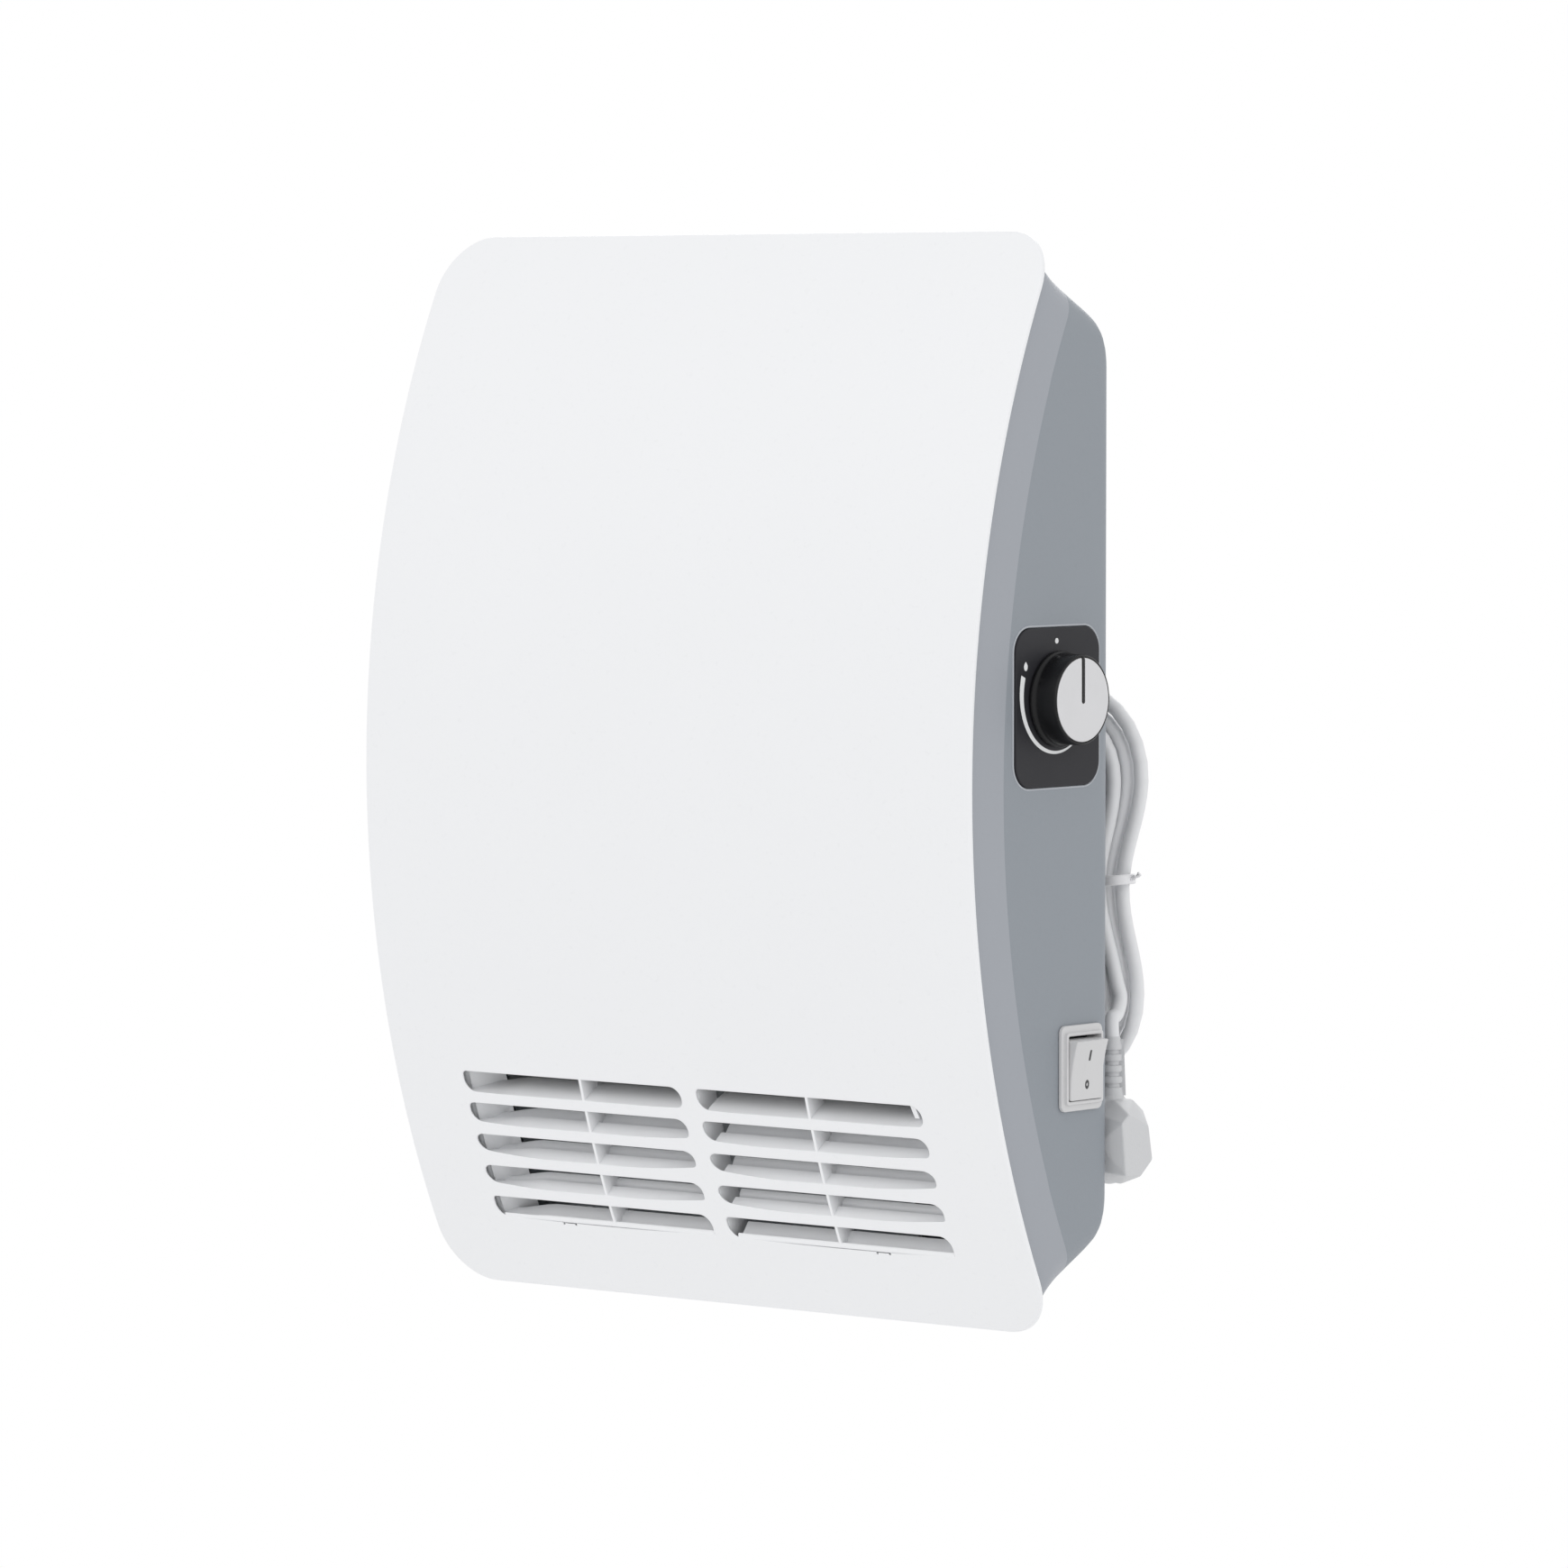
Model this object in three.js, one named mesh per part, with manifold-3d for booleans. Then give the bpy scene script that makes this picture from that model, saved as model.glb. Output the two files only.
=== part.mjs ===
// Bathroom wall fan heater: a white bowed front panel with ten louvred outlet slots, a grey moulded
// housing, a knob and a rocker switch on the right side, and a cross-flow fan that blows through a
// finned heating element. Its mains lead is tied up in a hank behind it.
// Millimetres, +Z up. The wall is the plane Y = 0, the front faces -Y, and Z = 0 is mid-height.
import * as THREE from "three";
import { mergeVertices } from "three/addons/utils/BufferGeometryUtils.js";
import Module from "manifold-3d";

const wasm = await Module();
wasm.setup();

// ---------------------------------------------------------------- driving dimensions

const gap = 0.3; // between pieces that touch
const standOff = 40; // wall to the housing's back edge
const bodyDepth = 95; // housing's back edge to the foremost line of the panel

const panel = { width: 335, height: 460, corner: 24, radius: 484, thick: 2.2, bow: 20 };
const shell = {
  halfWidth: 167.3, // at the crease and behind it
  wall: 2.5,
  band: 24, // depth of the front band, which leans in towards the panel
  lean: 1.5, // how far the band leans in
  rearHalfHeight: 190,
  frontHalfHeight: 226,
  flareDepth: 41, // depth over which the top and bottom walls swell out
  rearCorner: 11,
  edgeDepth: 6, // rounding of the back edge: depth, drop and side
  edgeDrop: 12,
  edgeSide: 2.5,
  rim: 3, // thickness of the back rim
  openingHalfWidth: 153,
  openingHalfHeight: 167,
  openingCorner: 8,
};
const slot = {
  columns: [-66.5, 66.5], // centres across
  rows: 5,
  firstTop: -132.5,
  pitch: 14.25,
  width: 124,
  height: 9.5,
  sharp: 1.5, // corner radius at the upper left and lower right
  soft: 6, // corner radius at the upper right and lower left
  bladeDepth: 14, // uppermost louvre blade, and how much less each one below it has
  bladeDepthStep: 1.4,
  bladeRise: 8.5,
  bladeRiseStep: 0.5,
  bladeKnee: 3.2, // height at which the blade turns over from the face
  bladeInset: 0.25,
  bladeThick: 1.5,
  bladeTaper: 11, // how much shorter the blade's inner edge is at each end
  ribThick: 1.6,
  ribDepth: 9,
  endGap: 1.5, // from the panel's back to the slanted wall at the blades' outer ends
  endThick: 1.2,
};
const plate = { y: -76.5, z: 32.7, width: 57, height: 66, corner: 10, thick: 1.6, recess: 1 };
const knob = { z: 36, base: 20, rim: 18.7, height: 12.5, capRadius: 17.5, capThick: 1.3, pointer: 1.8 };
const spindle = { radius: 3, bore: 3.3 };
const rocker = {
  y: -60.5,
  z: -118.5,
  width: 21.4,
  height: 25.3,
  crown: 6.5,
  dish: 1.1,
  tilt: 8,
  pin: 1.2,
};
const bezel = {
  width: 28,
  height: 36,
  corner: 3,
  flange: 1.6,
  surround: 3.2,
  wall: 1.5,
  neck: 4.6,
  playY: 0.4, // free space beside the rocker
  playZ: 1, // free space above and below it, where it swings
};
const fan = { y: -84, z: -68, radius: 30, from: -110, to: 90, blades: 22, bladeSpan: 6.5, disc: 2 };
const shaft = { radius: 3, from: -131, to: 141 };
const duct = { from: -122, to: 96, wall: 1.5, side: 2 };
const motor = {
  from: 106,
  to: 130,
  bore: 17.2,
  rotor: 16.7,
  halfWidth: 30,
  halfHeight: 34,
  bracketThick: 3,
  postReach: 24, // from the shaft to each post that carries the motor
};
const heater = { y: -84, z: -119, turn: 30, width: 46, thick: 11, fins: 20, end: 5 };
const rearPanel = { thick: 2, lap: 5, screwX: 146, screwZ: 158 };
const bracket = { halfWidth: 40, foot: 14, thick: 1.8, bottom: -30, top: 150 };
const hood = { from: 58, to: 74, z: 37.2, halfHeight: 11, wall: 1.6, outer: -1, exitY: -8.3, sleeve: 20 };
const screw = { head: 3.5, headHeight: 2, shank: 1.5, hole: 1.9, length: 9, boss: 4.2 };

// The lead, and the hank that it is tied up in.
const cord = { diameter: 6.2, loopSteps: 24, loopSides: 6, tubeSides: 10 };
const hank = {
  x: 121,
  z: -47,
  halfRun: 46.5,
  foldRadius: 18.6,
  pitch: 7.2,
  waist: 9, // how far the runs are drawn in at the tie
  rearY: -4.6,
  frontY: -11.7,
  turnIn: 1.75, // in loops, where the spiral reverses along a run
  climb: 0.13,
  start: -1,
  end: 3.35,
};
const plug = { x: 153.7, y: -19.6, z: -153, radius: 18.7, face: 142, grip: 172, pin: 2.4, pinLength: 19 };
const relief = { top: -109, length: 24, wide: 4.6, narrow: 3.8, ribs: 4 };

// Values that follow from them.
const frontY = -(standOff + bodyDepth);
const arcCentreY = frontY + panel.radius;
const backY = -standOff;
const panelBack = panel.radius - panel.thick; // radius of the panel's inner face
const shellFront = panelBack - gap;
const shellInside = shell.halfWidth - shell.wall;
const rearPanelOutside = backY - shell.rim - gap;
const rearPanelInside = rearPanelOutside - rearPanel.thick;
const plateFloor = shell.halfWidth - plate.recess;
const plateBack = plateFloor + gap;
const plateFront = plateBack + plate.thick;
const knobBack = plateFront + 0.5;
const fanInner = fan.radius - fan.bladeSpan;
const motorBracketInner = motor.from - gap - motor.bracketThick;
const radians = THREE.MathUtils.degToRad;

// ---------------------------------------------------------------- solids

// A closed geometry as a solid, with its faces turned outwards.
function solid(geometry) {
  const bare = geometry.index ? geometry.toNonIndexed() : geometry.clone();
  bare.deleteAttribute("normal");
  bare.deleteAttribute("uv");
  const merged = mergeVertices(bare, 1e-4);
  const triVerts = new Uint32Array(merged.index.array);
  const vertProperties = merged.attributes.position.array;
  const made = new wasm.Manifold(new wasm.Mesh({ numProp: 3, vertProperties, triVerts }));
  if (made.volume() > 0) return made;
  return new wasm.Manifold(
    new wasm.Mesh({ numProp: 3, vertProperties, triVerts: triVerts.slice().reverse() }),
  );
}

function geometryOf(made) {
  const mesh = made.getMesh();
  return new THREE.BufferGeometry()
    .setAttribute("position", new THREE.BufferAttribute(mesh.vertProperties, 3))
    .setIndex(new THREE.BufferAttribute(mesh.triVerts, 1))
    .toNonIndexed();
}

const join = (...pieces) => pieces.reduce((all, piece) => all.add(piece));
const cut = (from, ...pieces) => pieces.reduce((left, piece) => left.subtract(piece), from);

// Turns that carry an extrusion or a revolve from its own axis to X, Y or Z.
const axisTurns = {
  x: new THREE.Matrix4().set(0, 0, 1, 0, 1, 0, 0, 0, 0, 1, 0, 0, 0, 0, 0, 1),
  y: new THREE.Matrix4().makeRotationX(Math.PI / 2),
  z: new THREE.Matrix4(),
};
const revolveTurns = {
  x: new THREE.Matrix4().set(0, 1, 0, 0, 0, 0, 1, 0, 1, 0, 0, 0, 0, 0, 0, 1),
  y: new THREE.Matrix4(),
  z: new THREE.Matrix4().makeRotationX(Math.PI / 2),
};

// A flat outline drawn out along an axis: outlines across X are in (Y, Z), across Y in (X, Z).
function extrude(outline, axis, from, to, curveSegments = 2) {
  const options = { depth: to - from, bevelEnabled: false, curveSegments };
  const geometry = new THREE.ExtrudeGeometry(outline, options).applyMatrix4(axisTurns[axis]);
  if (axis === "x") geometry.translate(from, 0, 0);
  if (axis === "y") geometry.translate(0, to, 0);
  if (axis === "z") geometry.translate(0, 0, from);
  return solid(geometry);
}

// A profile of [radius, distance along the axis] turned about that axis.
function revolve(profile, axis, centre, segments = 32) {
  const points = profile.map(([radius, along]) => new THREE.Vector2(radius, along));
  const geometry = new THREE.LatheGeometry(points, segments).applyMatrix4(revolveTurns[axis]);
  return solid(geometry.translate(...centre));
}

function cylinder(radius, axis, from, to, centre, segments = 16) {
  const profile = [
    [0, from],
    [radius, from],
    [radius, to],
    [0, to],
  ];
  return revolve(profile, axis, centre, segments);
}

function box(x, y, z) {
  const size = [x, y, z].map(([low, high]) => high - low);
  const middle = [x, y, z].map(([low, high]) => (low + high) / 2);
  return solid(new THREE.BoxGeometry(...size).translate(...middle));
}

// Rounded rectangle: corner radii go upper left, upper right, lower right, lower left.
function roundedRect(u, v, width, height, corners) {
  const [ul, ur, lr, ll] = Array.isArray(corners) ? corners : Array(4).fill(corners);
  const [left, right, low, high] = [u - width / 2, u + width / 2, v - height / 2, v + height / 2];
  const shape = new THREE.Shape();
  shape.moveTo(left + ll, low);
  shape.lineTo(right - lr, low);
  shape.absarc(right - lr, low + lr, lr, -Math.PI / 2, 0);
  shape.lineTo(right, high - ur);
  shape.absarc(right - ur, high - ur, ur, 0, Math.PI / 2);
  shape.lineTo(left + ul, high);
  shape.absarc(left + ul, high - ul, ul, Math.PI / 2, Math.PI);
  shape.lineTo(left, low + ll);
  shape.absarc(left + ll, low + ll, ll, Math.PI, 1.5 * Math.PI);
  return shape;
}

// The points of a rounded rectangle about the origin, as many for every size.
function roundedRing(halfU, halfV, corner, steps) {
  const centres = [
    [halfU - corner, halfV - corner],
    [corner - halfU, halfV - corner],
    [corner - halfU, corner - halfV],
    [halfU - corner, corner - halfV],
  ];
  return centres.flatMap(([u, v], quadrant) =>
    Array.from({ length: steps + 1 }, (_, i) => {
      const angle = (Math.PI / 2) * (quadrant + i / steps);
      return [u + corner * Math.cos(angle), v + corner * Math.sin(angle)];
    }),
  );
}

// Rings of equally many points joined into one closed solid, its ends capped.
function loft(rings) {
  const count = rings[0].length;
  const positions = [];
  const index = [];
  rings.forEach((ring) => ring.forEach((point) => positions.push(...point)));
  for (let i = 0; i < rings.length - 1; i++)
    for (let j = 0; j < count; j++) {
      const [a, b] = [i * count + j, i * count + ((j + 1) % count)];
      index.push(a, b, a + count, b, b + count, a + count);
    }
  const last = (rings.length - 1) * count;
  for (let j = 1; j < count - 1; j++) {
    index.push(0, j + 1, j);
    index.push(last, last + j, last + j + 1);
  }
  const geometry = new THREE.BufferGeometry();
  geometry.setAttribute("position", new THREE.Float32BufferAttribute(positions, 3));
  geometry.setIndex(index);
  return solid(geometry);
}

// A profile of [radius, X] swept about the panel's own centre line, over the height of the heater.
function bowed(profile) {
  const rings = [];
  for (let i = 0; i <= panel.bow; i++) {
    const angle = radians(30 * ((2 * i) / panel.bow - 1));
    rings.push(
      profile.map(([r, x]) => [x, arcCentreY - r * Math.cos(angle), r * Math.sin(angle)]),
    );
  }
  return loft(rings);
}

const bowY = (z, radius = panel.radius) => arcCentreY - Math.sqrt(radius ** 2 - z ** 2);

// A round tube along a curve, with a step for each stretch of the given length.
function tube(points, radius, sides, step) {
  const path = new THREE.CatmullRomCurve3(points.map((p) => new THREE.Vector3(...p)), false, "centripetal");
  const section = new THREE.Shape();
  for (let i = 0; i < sides; i++) {
    const angle = (2 * Math.PI * i) / sides;
    section[i ? "lineTo" : "moveTo"](radius * Math.cos(angle), radius * Math.sin(angle));
  }
  const steps = Math.max(6, Math.ceil(path.getLength() / step));
  return solid(new THREE.ExtrudeGeometry(section, { steps, bevelEnabled: false, extrudePath: path }));
}

// ---------------------------------------------------------------- colours

const finish = (color, roughness, metalness = 0) =>
  new THREE.MeshStandardMaterial({ color, roughness, metalness });
const white = finish(0xeeeff1, 0.32);
const grey = finish(0x949aa0, 0.5);
const black = finish(0x2b2b2d, 0.4);
const silver = finish(0xd3d3d5, 0.3, 0.6);
const switchGrey = finish(0xd2d2d4, 0.4);
const cordGrey = finish(0xcfd0d2, 0.55);
const steel = finish(0xb4b6b8, 0.4, 0.9);
const copper = finish(0xb06a3c, 0.4, 0.9);
const brass = finish(0xc9b27a, 0.35, 0.9);
const ceramic = finish(0xd9d2c4, 0.8);
const aluminium = finish(0xc3c6c9, 0.4, 0.9);
const moulding = finish(0x3a3d40, 0.6);
const rubber = finish(0x242424, 0.8);

const heaterGroup = new THREE.Group();

function place(name, made, material, parent = heaterGroup) {
  const mesh = new THREE.Mesh(geometryOf(made), material);
  mesh.name = name;
  parent.add(mesh);
  return mesh;
}

// ---------------------------------------------------------------- front panel

const slotCentreZ = (row) => slot.firstTop - slot.pitch * row - slot.height / 2;

function slotHole(column, row) {
  const corners = [slot.sharp, slot.soft, slot.sharp, slot.soft];
  const outline = roundedRect(column, slotCentreZ(row), slot.width, slot.height, corners);
  const z = slotCentreZ(row);
  return extrude(outline, "y", bowY(z) - 10, bowY(z, panelBack) + 10);
}

// Half-width of the louvre at the slanted end wall's inner face, for a depth behind the panel's face.
const endStart = panel.thick + slot.endGap;
const endWallReach = (depth) =>
  slot.width / 2 - (slot.bladeTaper * (depth - endStart)) / (slot.bladeDepth - slot.endGap);

// How a blade's end runs inwards: into the end wall at a column's outer side, tapered at its inner side.
function bladeEnd(column, side, depth) {
  const [half, bite] = [slot.width / 2, slot.endThick / 2];
  const line =
    Math.sign(column) === side
      ? [
          [half, panel.thick],
          [half + bite, endStart],
          [endWallReach(depth) + bite, depth],
        ]
      : [
          [half, 2.5],
          [half - slot.bladeTaper, depth],
        ];
  return line.map(([reach, inward]) => [column + side * reach, inward]);
}

// A blade rises out of the face below its slot, turns over to slope up as it goes in, and is shorter at
// its inner edge.
function louvreBlade(column, row) {
  const lowZ = slotCentreZ(row) - slot.height / 2;
  const edgeY = bowY(lowZ) + slot.bladeInset;
  const depth = slot.bladeDepth - slot.bladeDepthStep * row;
  const rise = slot.bladeRise - slot.bladeRiseStep * row;
  const [half, t] = [slot.width / 2, slot.bladeThick];
  const [tipY, tipZ] = [edgeY + depth, lowZ + rise];
  const [rootZ, kneeZ] = [lowZ - 1, lowZ + slot.bladeKnee];
  const [rootY, kneeY] = [rootZ, kneeZ].map((z) => bowY(z) + slot.bladeInset);
  const outline = new THREE.Shape();
  outline.moveTo(rootY, rootZ);
  outline.bezierCurveTo(kneeY, kneeZ, edgeY + 3.5, kneeZ + 1.6, tipY, tipZ);
  outline.lineTo(tipY + t * 0.4, tipZ - t);
  outline.bezierCurveTo(edgeY + 4, kneeZ - 0.4, edgeY + t, lowZ + 2, rootY + t, rootZ);
  const reach = half + slot.endThick;
  const blade = extrude(outline, "x", column - reach, column + reach, 4);
  const plan = new THREE.Shape();
  plan.moveTo(column - half, kneeY - 1);
  plan.lineTo(column + half, kneeY - 1);
  bladeEnd(column, 1, depth + t).forEach(([x, inward]) => plan.lineTo(x, edgeY + inward));
  bladeEnd(column, -1, depth + t).reverse().forEach(([x, inward]) => plan.lineTo(x, edgeY + inward));
  return blade.intersect(extrude(plan, "z", lowZ - 5, lowZ + rise + 5));
}

// The thin upright that ties a column's blades together, behind the panel's face.
function louvreRib(column) {
  const [high, low] = [slot.firstTop + 3, slotCentreZ(slot.rows - 1) - slot.height / 2 - 2];
  const outer = bowed([
    [panelBack + 1, column - slot.ribThick / 2],
    [panelBack + 1, column + slot.ribThick / 2],
    [panelBack - slot.ribDepth, column + slot.ribThick / 2],
    [panelBack - slot.ribDepth, column - slot.ribThick / 2],
  ]);
  return outer.intersect(box([column - 5, column + 5], [frontY, backY], [low, high]));
}

// Slanted wall that closes the outer ends of a column's blades, just behind the panel.
function louvreEndWall(side) {
  const x = Math.abs(slot.columns[0]) + slot.width / 2;
  const [outer, inner] = [panel.radius - endStart, panelBack - slot.bladeDepth];
  const wall = bowed([
    [outer, side * x],
    [outer, side * (x + slot.endThick)],
    [inner, side * (x + slot.endThick - slot.bladeTaper)],
    [inner, side * (x - slot.bladeTaper)],
  ]);
  const [high, low] = [slot.firstTop, slotCentreZ(slot.rows - 1) - slot.height / 2];
  return wall.intersect(box([-panel.width, panel.width], [frontY, backY], [low, high]));
}

// Tongues on the panel's back that slide inside the housing's side walls.
function locatingTongue(side, z) {
  const outside = side * (shellInside - gap);
  const inside = outside - side * 2;
  const x = [Math.min(outside, inside), Math.max(outside, inside)];
  const tongue = [
    [panelBack + 1, x[0]],
    [panelBack + 1, x[1]],
    [panelBack - 14, x[1]],
    [panelBack - 14, x[0]],
  ];
  return bowed(tongue).intersect(box([x[0] - 1, x[1] + 1], [frontY, backY], [z - 12, z + 12]));
}

function makeFrontPanel() {
  const half = panel.width / 2;
  const sheet = bowed([
    [panelBack, -half],
    [panel.radius, -half],
    [panel.radius, half],
    [panelBack, half],
  ]);
  const outline = roundedRect(0, 0, panel.width, panel.height, panel.corner);
  let made = sheet.intersect(extrude(outline, "y", frontY - 10, backY, 5));
  for (const column of slot.columns)
    for (let row = 0; row < slot.rows; row++) {
      made = made.subtract(slotHole(column, row)).add(louvreBlade(column, row));
    }
  for (const column of slot.columns) made = made.add(louvreRib(column));
  for (const side of [-1, 1]) made = made.add(louvreEndWall(side));
  for (const side of [-1, 1]) for (const z of [-95, 130]) made = made.add(locatingTongue(side, z));
  place("front_panel", made, white);
}

// ---------------------------------------------------------------- housing

// Half-height of the housing's wall at a depth in front of its back edge: an S-shaped swell.
const swell = new THREE.CubicBezierCurve(
  new THREE.Vector2(0, shell.rearHalfHeight),
  new THREE.Vector2(shell.flareDepth * 0.24, shell.rearHalfHeight + 13),
  new THREE.Vector2(shell.flareDepth * 0.68, shell.frontHalfHeight - 20),
  new THREE.Vector2(shell.flareDepth, shell.frontHalfHeight),
).getPoints(60);

function wallHalfHeight(depth) {
  if (depth >= shell.flareDepth) return shell.frontHalfHeight;
  const i = swell.findIndex((p) => p.x >= depth);
  if (i < 1) return shell.rearHalfHeight;
  const [a, b] = [swell[i - 1], swell[i]];
  return a.y + ((b.y - a.y) * (depth - a.x)) / (b.x - a.x);
}

// The housing's outline at a depth, drawn in by a wall's thickness for the inside.
function housingRing(depth, inward) {
  const round = depth < shell.edgeDepth ? 1 - Math.sqrt(1 - (1 - depth / shell.edgeDepth) ** 2) : 0;
  const halfZ = wallHalfHeight(depth) - shell.edgeDrop * round - inward;
  const halfX = shell.halfWidth - shell.edgeSide * round - inward;
  const share = Math.min(1, depth / shell.flareDepth);
  const corner = shell.rearCorner + (panel.corner - 2 - shell.rearCorner) * share - inward;
  return roundedRing(halfX, halfZ, corner, 4).map(([x, z]) => [x, backY - depth, z]);
}

function housingBody(depths, inward) {
  return loft(depths.map((depth) => housingRing(depth, inward)));
}

function screwBoss(x, z, y) {
  return cylinder(screw.boss, "y", y - 18, y, [x, 0, z], 12);
}

const rearScrewPlaces = [-1, 1].flatMap((i) =>
  [-1, 1].map((j) => [i * rearPanel.screwX, j * rearPanel.screwZ]),
);

function makeHousing() {
  const beyond = bodyDepth + 10;
  const depths = [0, 0.6, 1.8, 3.6, 6, 10, 15, 20, 25, 30, 35, shell.flareDepth, beyond];
  const outside = housingBody(depths, 0);
  const inside = housingBody([shell.rim, 3.6, 6, 10, 15, 20, 25, 30, 35, shell.flareDepth, beyond], shell.wall);
  const creaseRadius = panel.radius - shell.band;
  const [wide, leant] = [shell.halfWidth, shell.halfWidth - shell.lean];
  const bowedFront = bowed([
    [300, -wide],
    [creaseRadius, -wide],
    [shellFront, -leant],
    [shellFront, leant],
    [creaseRadius, wide],
    [300, wide],
  ]);
  const { openingHalfWidth: w, openingHalfHeight: h, openingCorner } = shell;
  const opening = extrude(roundedRect(0, 0, 2 * w, 2 * h, openingCorner), "y", backY - 10, backY + 5);
  let made = cut(outside.intersect(bowedFront), inside, opening);
  for (const [x, z] of rearScrewPlaces) {
    const y = rearPanelInside - gap;
    const web = box(
      [Math.min(x, Math.sign(x) * (shellInside + 1)), Math.max(x, Math.sign(x) * (shellInside + 1))],
      [y - 18, y],
      [z - 1.5, z + 1.5],
    );
    made = cut(join(made, screwBoss(x, z, y), web), cylinder(screw.hole, "y", y - 14, y + 1, [x, 0, z], 8));
  }
  const recess = roundedRect(plate.y, plate.z, plate.width + 2 * gap, plate.height + 2 * gap, plate.corner + gap);
  made = cut(
    made,
    extrude(recess, "x", plateFloor, shell.halfWidth + 5),
    cylinder(5, "x", 150, 180, [0, plate.y, knob.z], 20),
    extrude(
      roundedRect(rocker.y, rocker.z, bezelNeck.width + 2 * gap, bezelNeck.height + 2 * gap, 1),
      "x",
      shellInside - 5,
      shell.halfWidth + 5,
    ),
  );
  place("housing_shell", made, grey);
}

// ---------------------------------------------------------------- rear panel and wall bracket

const bracketScrewPlaces = [-1, 1].flatMap((i) =>
  [bracket.bottom + 20, bracket.top - 20].map((z) => [i * (bracket.halfWidth + bracket.foot / 2), z]),
);
const hoodScrewPlaces = [-1, 1].map((j) => [
  (hood.from + hood.to) / 2,
  hood.z + j * (hood.halfHeight + screw.boss + 1),
]);

function makeRearPanel() {
  const width = 2 * (shell.openingHalfWidth + rearPanel.lap);
  const height = 2 * (shell.openingHalfHeight + rearPanel.lap);
  let made = extrude(roundedRect(0, 0, width, height, 8), "y", rearPanelInside, rearPanelOutside);
  for (const side of [-1, 1])
    for (let i = 0; i < 8; i++) {
      const intake = roundedRect(side * 103, 72 + i * 11, 62, 5, 2.4);
      made = made.subtract(extrude(intake, "y", rearPanelInside - 5, rearPanelOutside + 5, 1));
    }
  for (const [x, z] of [...bracketScrewPlaces, ...hoodScrewPlaces])
    made = made.add(cylinder(screw.boss, "y", rearPanelInside - 8, rearPanelInside + 1, [x, 0, z], 10));
  for (const [x, z] of [...rearScrewPlaces, ...bracketScrewPlaces, ...hoodScrewPlaces])
    made = made.subtract(
      cylinder(screw.hole, "y", rearPanelInside - 12, rearPanelOutside + 5, [x, 0, z], 8),
    );
  const cordHole = [(hood.from + hood.to) / 2, 0, hood.z];
  made = made.subtract(cylinder(4.5, "y", rearPanelInside - 5, rearPanelOutside + 5, cordHole, 16));
  place("rear_panel", made, moulding);
}

// A pan-head screw that enters from the wall side, its head resting on a face at the given Y.
function makeScrew(name, x, z, faceY) {
  const seat = faceY + gap;
  const made = revolve(
    [
      [0, seat - screw.length],
      [screw.shank, seat - screw.length + 1.5],
      [screw.shank, seat],
      [screw.head, seat],
      [screw.head * 0.85, seat + screw.headHeight * 0.75],
      [0, seat + screw.headHeight],
    ],
    "y",
    [x, 0, z],
    8,
  );
  place(name, made, steel);
}

function makeWallBracket() {
  const { halfWidth: w, foot, thick: t } = bracket;
  const footY = rearPanelOutside + gap;
  const profile = new THREE.Shape();
  const points = [
    [-w - foot, footY],
    [-w + t, footY],
    [-w + t, -t],
    [w - t, -t],
    [w - t, footY],
    [w + foot, footY],
    [w + foot, footY + t],
    [w, footY + t],
    [w, 0],
    [-w, 0],
    [-w, footY + t],
    [-w - foot, footY + t],
  ];
  points.forEach(([x, y], i) => profile[i ? "lineTo" : "moveTo"](x, y));
  let made = extrude(profile, "z", bracket.bottom, bracket.top);
  for (const x of [-24, 24]) {
    made = made.subtract(cylinder(4.5, "y", -10, 5, [x, 0, 100], 14));
    made = made.subtract(extrude(roundedRect(x, 107, 4.6, 16, 2.3), "y", -10, 5));
  }
  for (const [x, z] of bracketScrewPlaces)
    made = made.subtract(cylinder(screw.hole, "y", footY - 5, footY + t + 5, [x, 0, z], 8));
  place("wall_bracket", made, steel);
}

function makeCordHood() {
  const outsideY = rearPanelOutside + gap;
  const { from, to, z, halfHeight: h, wall } = hood;
  const middle = (from + to) / 2;
  const body = box([from, to], [outsideY, hood.outer], [z - h, z + h]);
  const hollow = box(
    [from + wall, to - wall],
    [outsideY - 5, hood.outer - wall],
    [z - h + wall, z + h - wall],
  );
  const earHeight = 2 * (h + 2 * screw.boss + 1);
  const ears = extrude(roundedRect(middle, z, to - from, earHeight, 4), "y", outsideY, outsideY + 2, 3);
  let made = cut(join(body, ears), hollow);
  made = cut(made, cylinder(4.7 + gap, "x", to - wall - 1, to + 5, [0, hood.exitY, z], 14));
  for (const [x, sz] of hoodScrewPlaces)
    made = made.subtract(cylinder(screw.hole, "y", outsideY - 5, outsideY + 7, [x, 0, sz], 8));
  place("cord_outlet_hood", made, moulding);
  hoodScrewPlaces.forEach(([x, sz], i) => makeScrew(`hood_screw_${i + 1}`, x, sz, outsideY + 2));
  const inside = to - wall - gap;
  const sleeve = revolve(
    [
      [0, inside - 1.5],
      [5.4, inside - 1.5],
      [5.4, inside],
      [4.7, inside],
      [4.7, to + 3],
      [4.1, to + 4],
      [4.1, to + 6],
      [4.6, to + 7],
      [4.4, to + 9],
      [3.8, to + 10],
      [3.8, to + 12],
      [4.2, to + 13],
      [3.6, to + hood.sleeve],
      [0, to + hood.sleeve],
    ],
    "x",
    [0, hood.exitY, z],
    12,
  );
  place("cord_outlet_sleeve", sleeve, rubber);
}

// ---------------------------------------------------------------- knob, thermostat and switch

function makeControlPlate() {
  const outline = roundedRect(plate.y, plate.z, plate.width, plate.height, plate.corner);
  const sheet = extrude(outline, "x", plateBack, plateFront, 5);
  place("control_plate", cut(sheet, cylinder(4, "x", 160, 180, [0, plate.y, knob.z], 20)), black);
}

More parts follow.
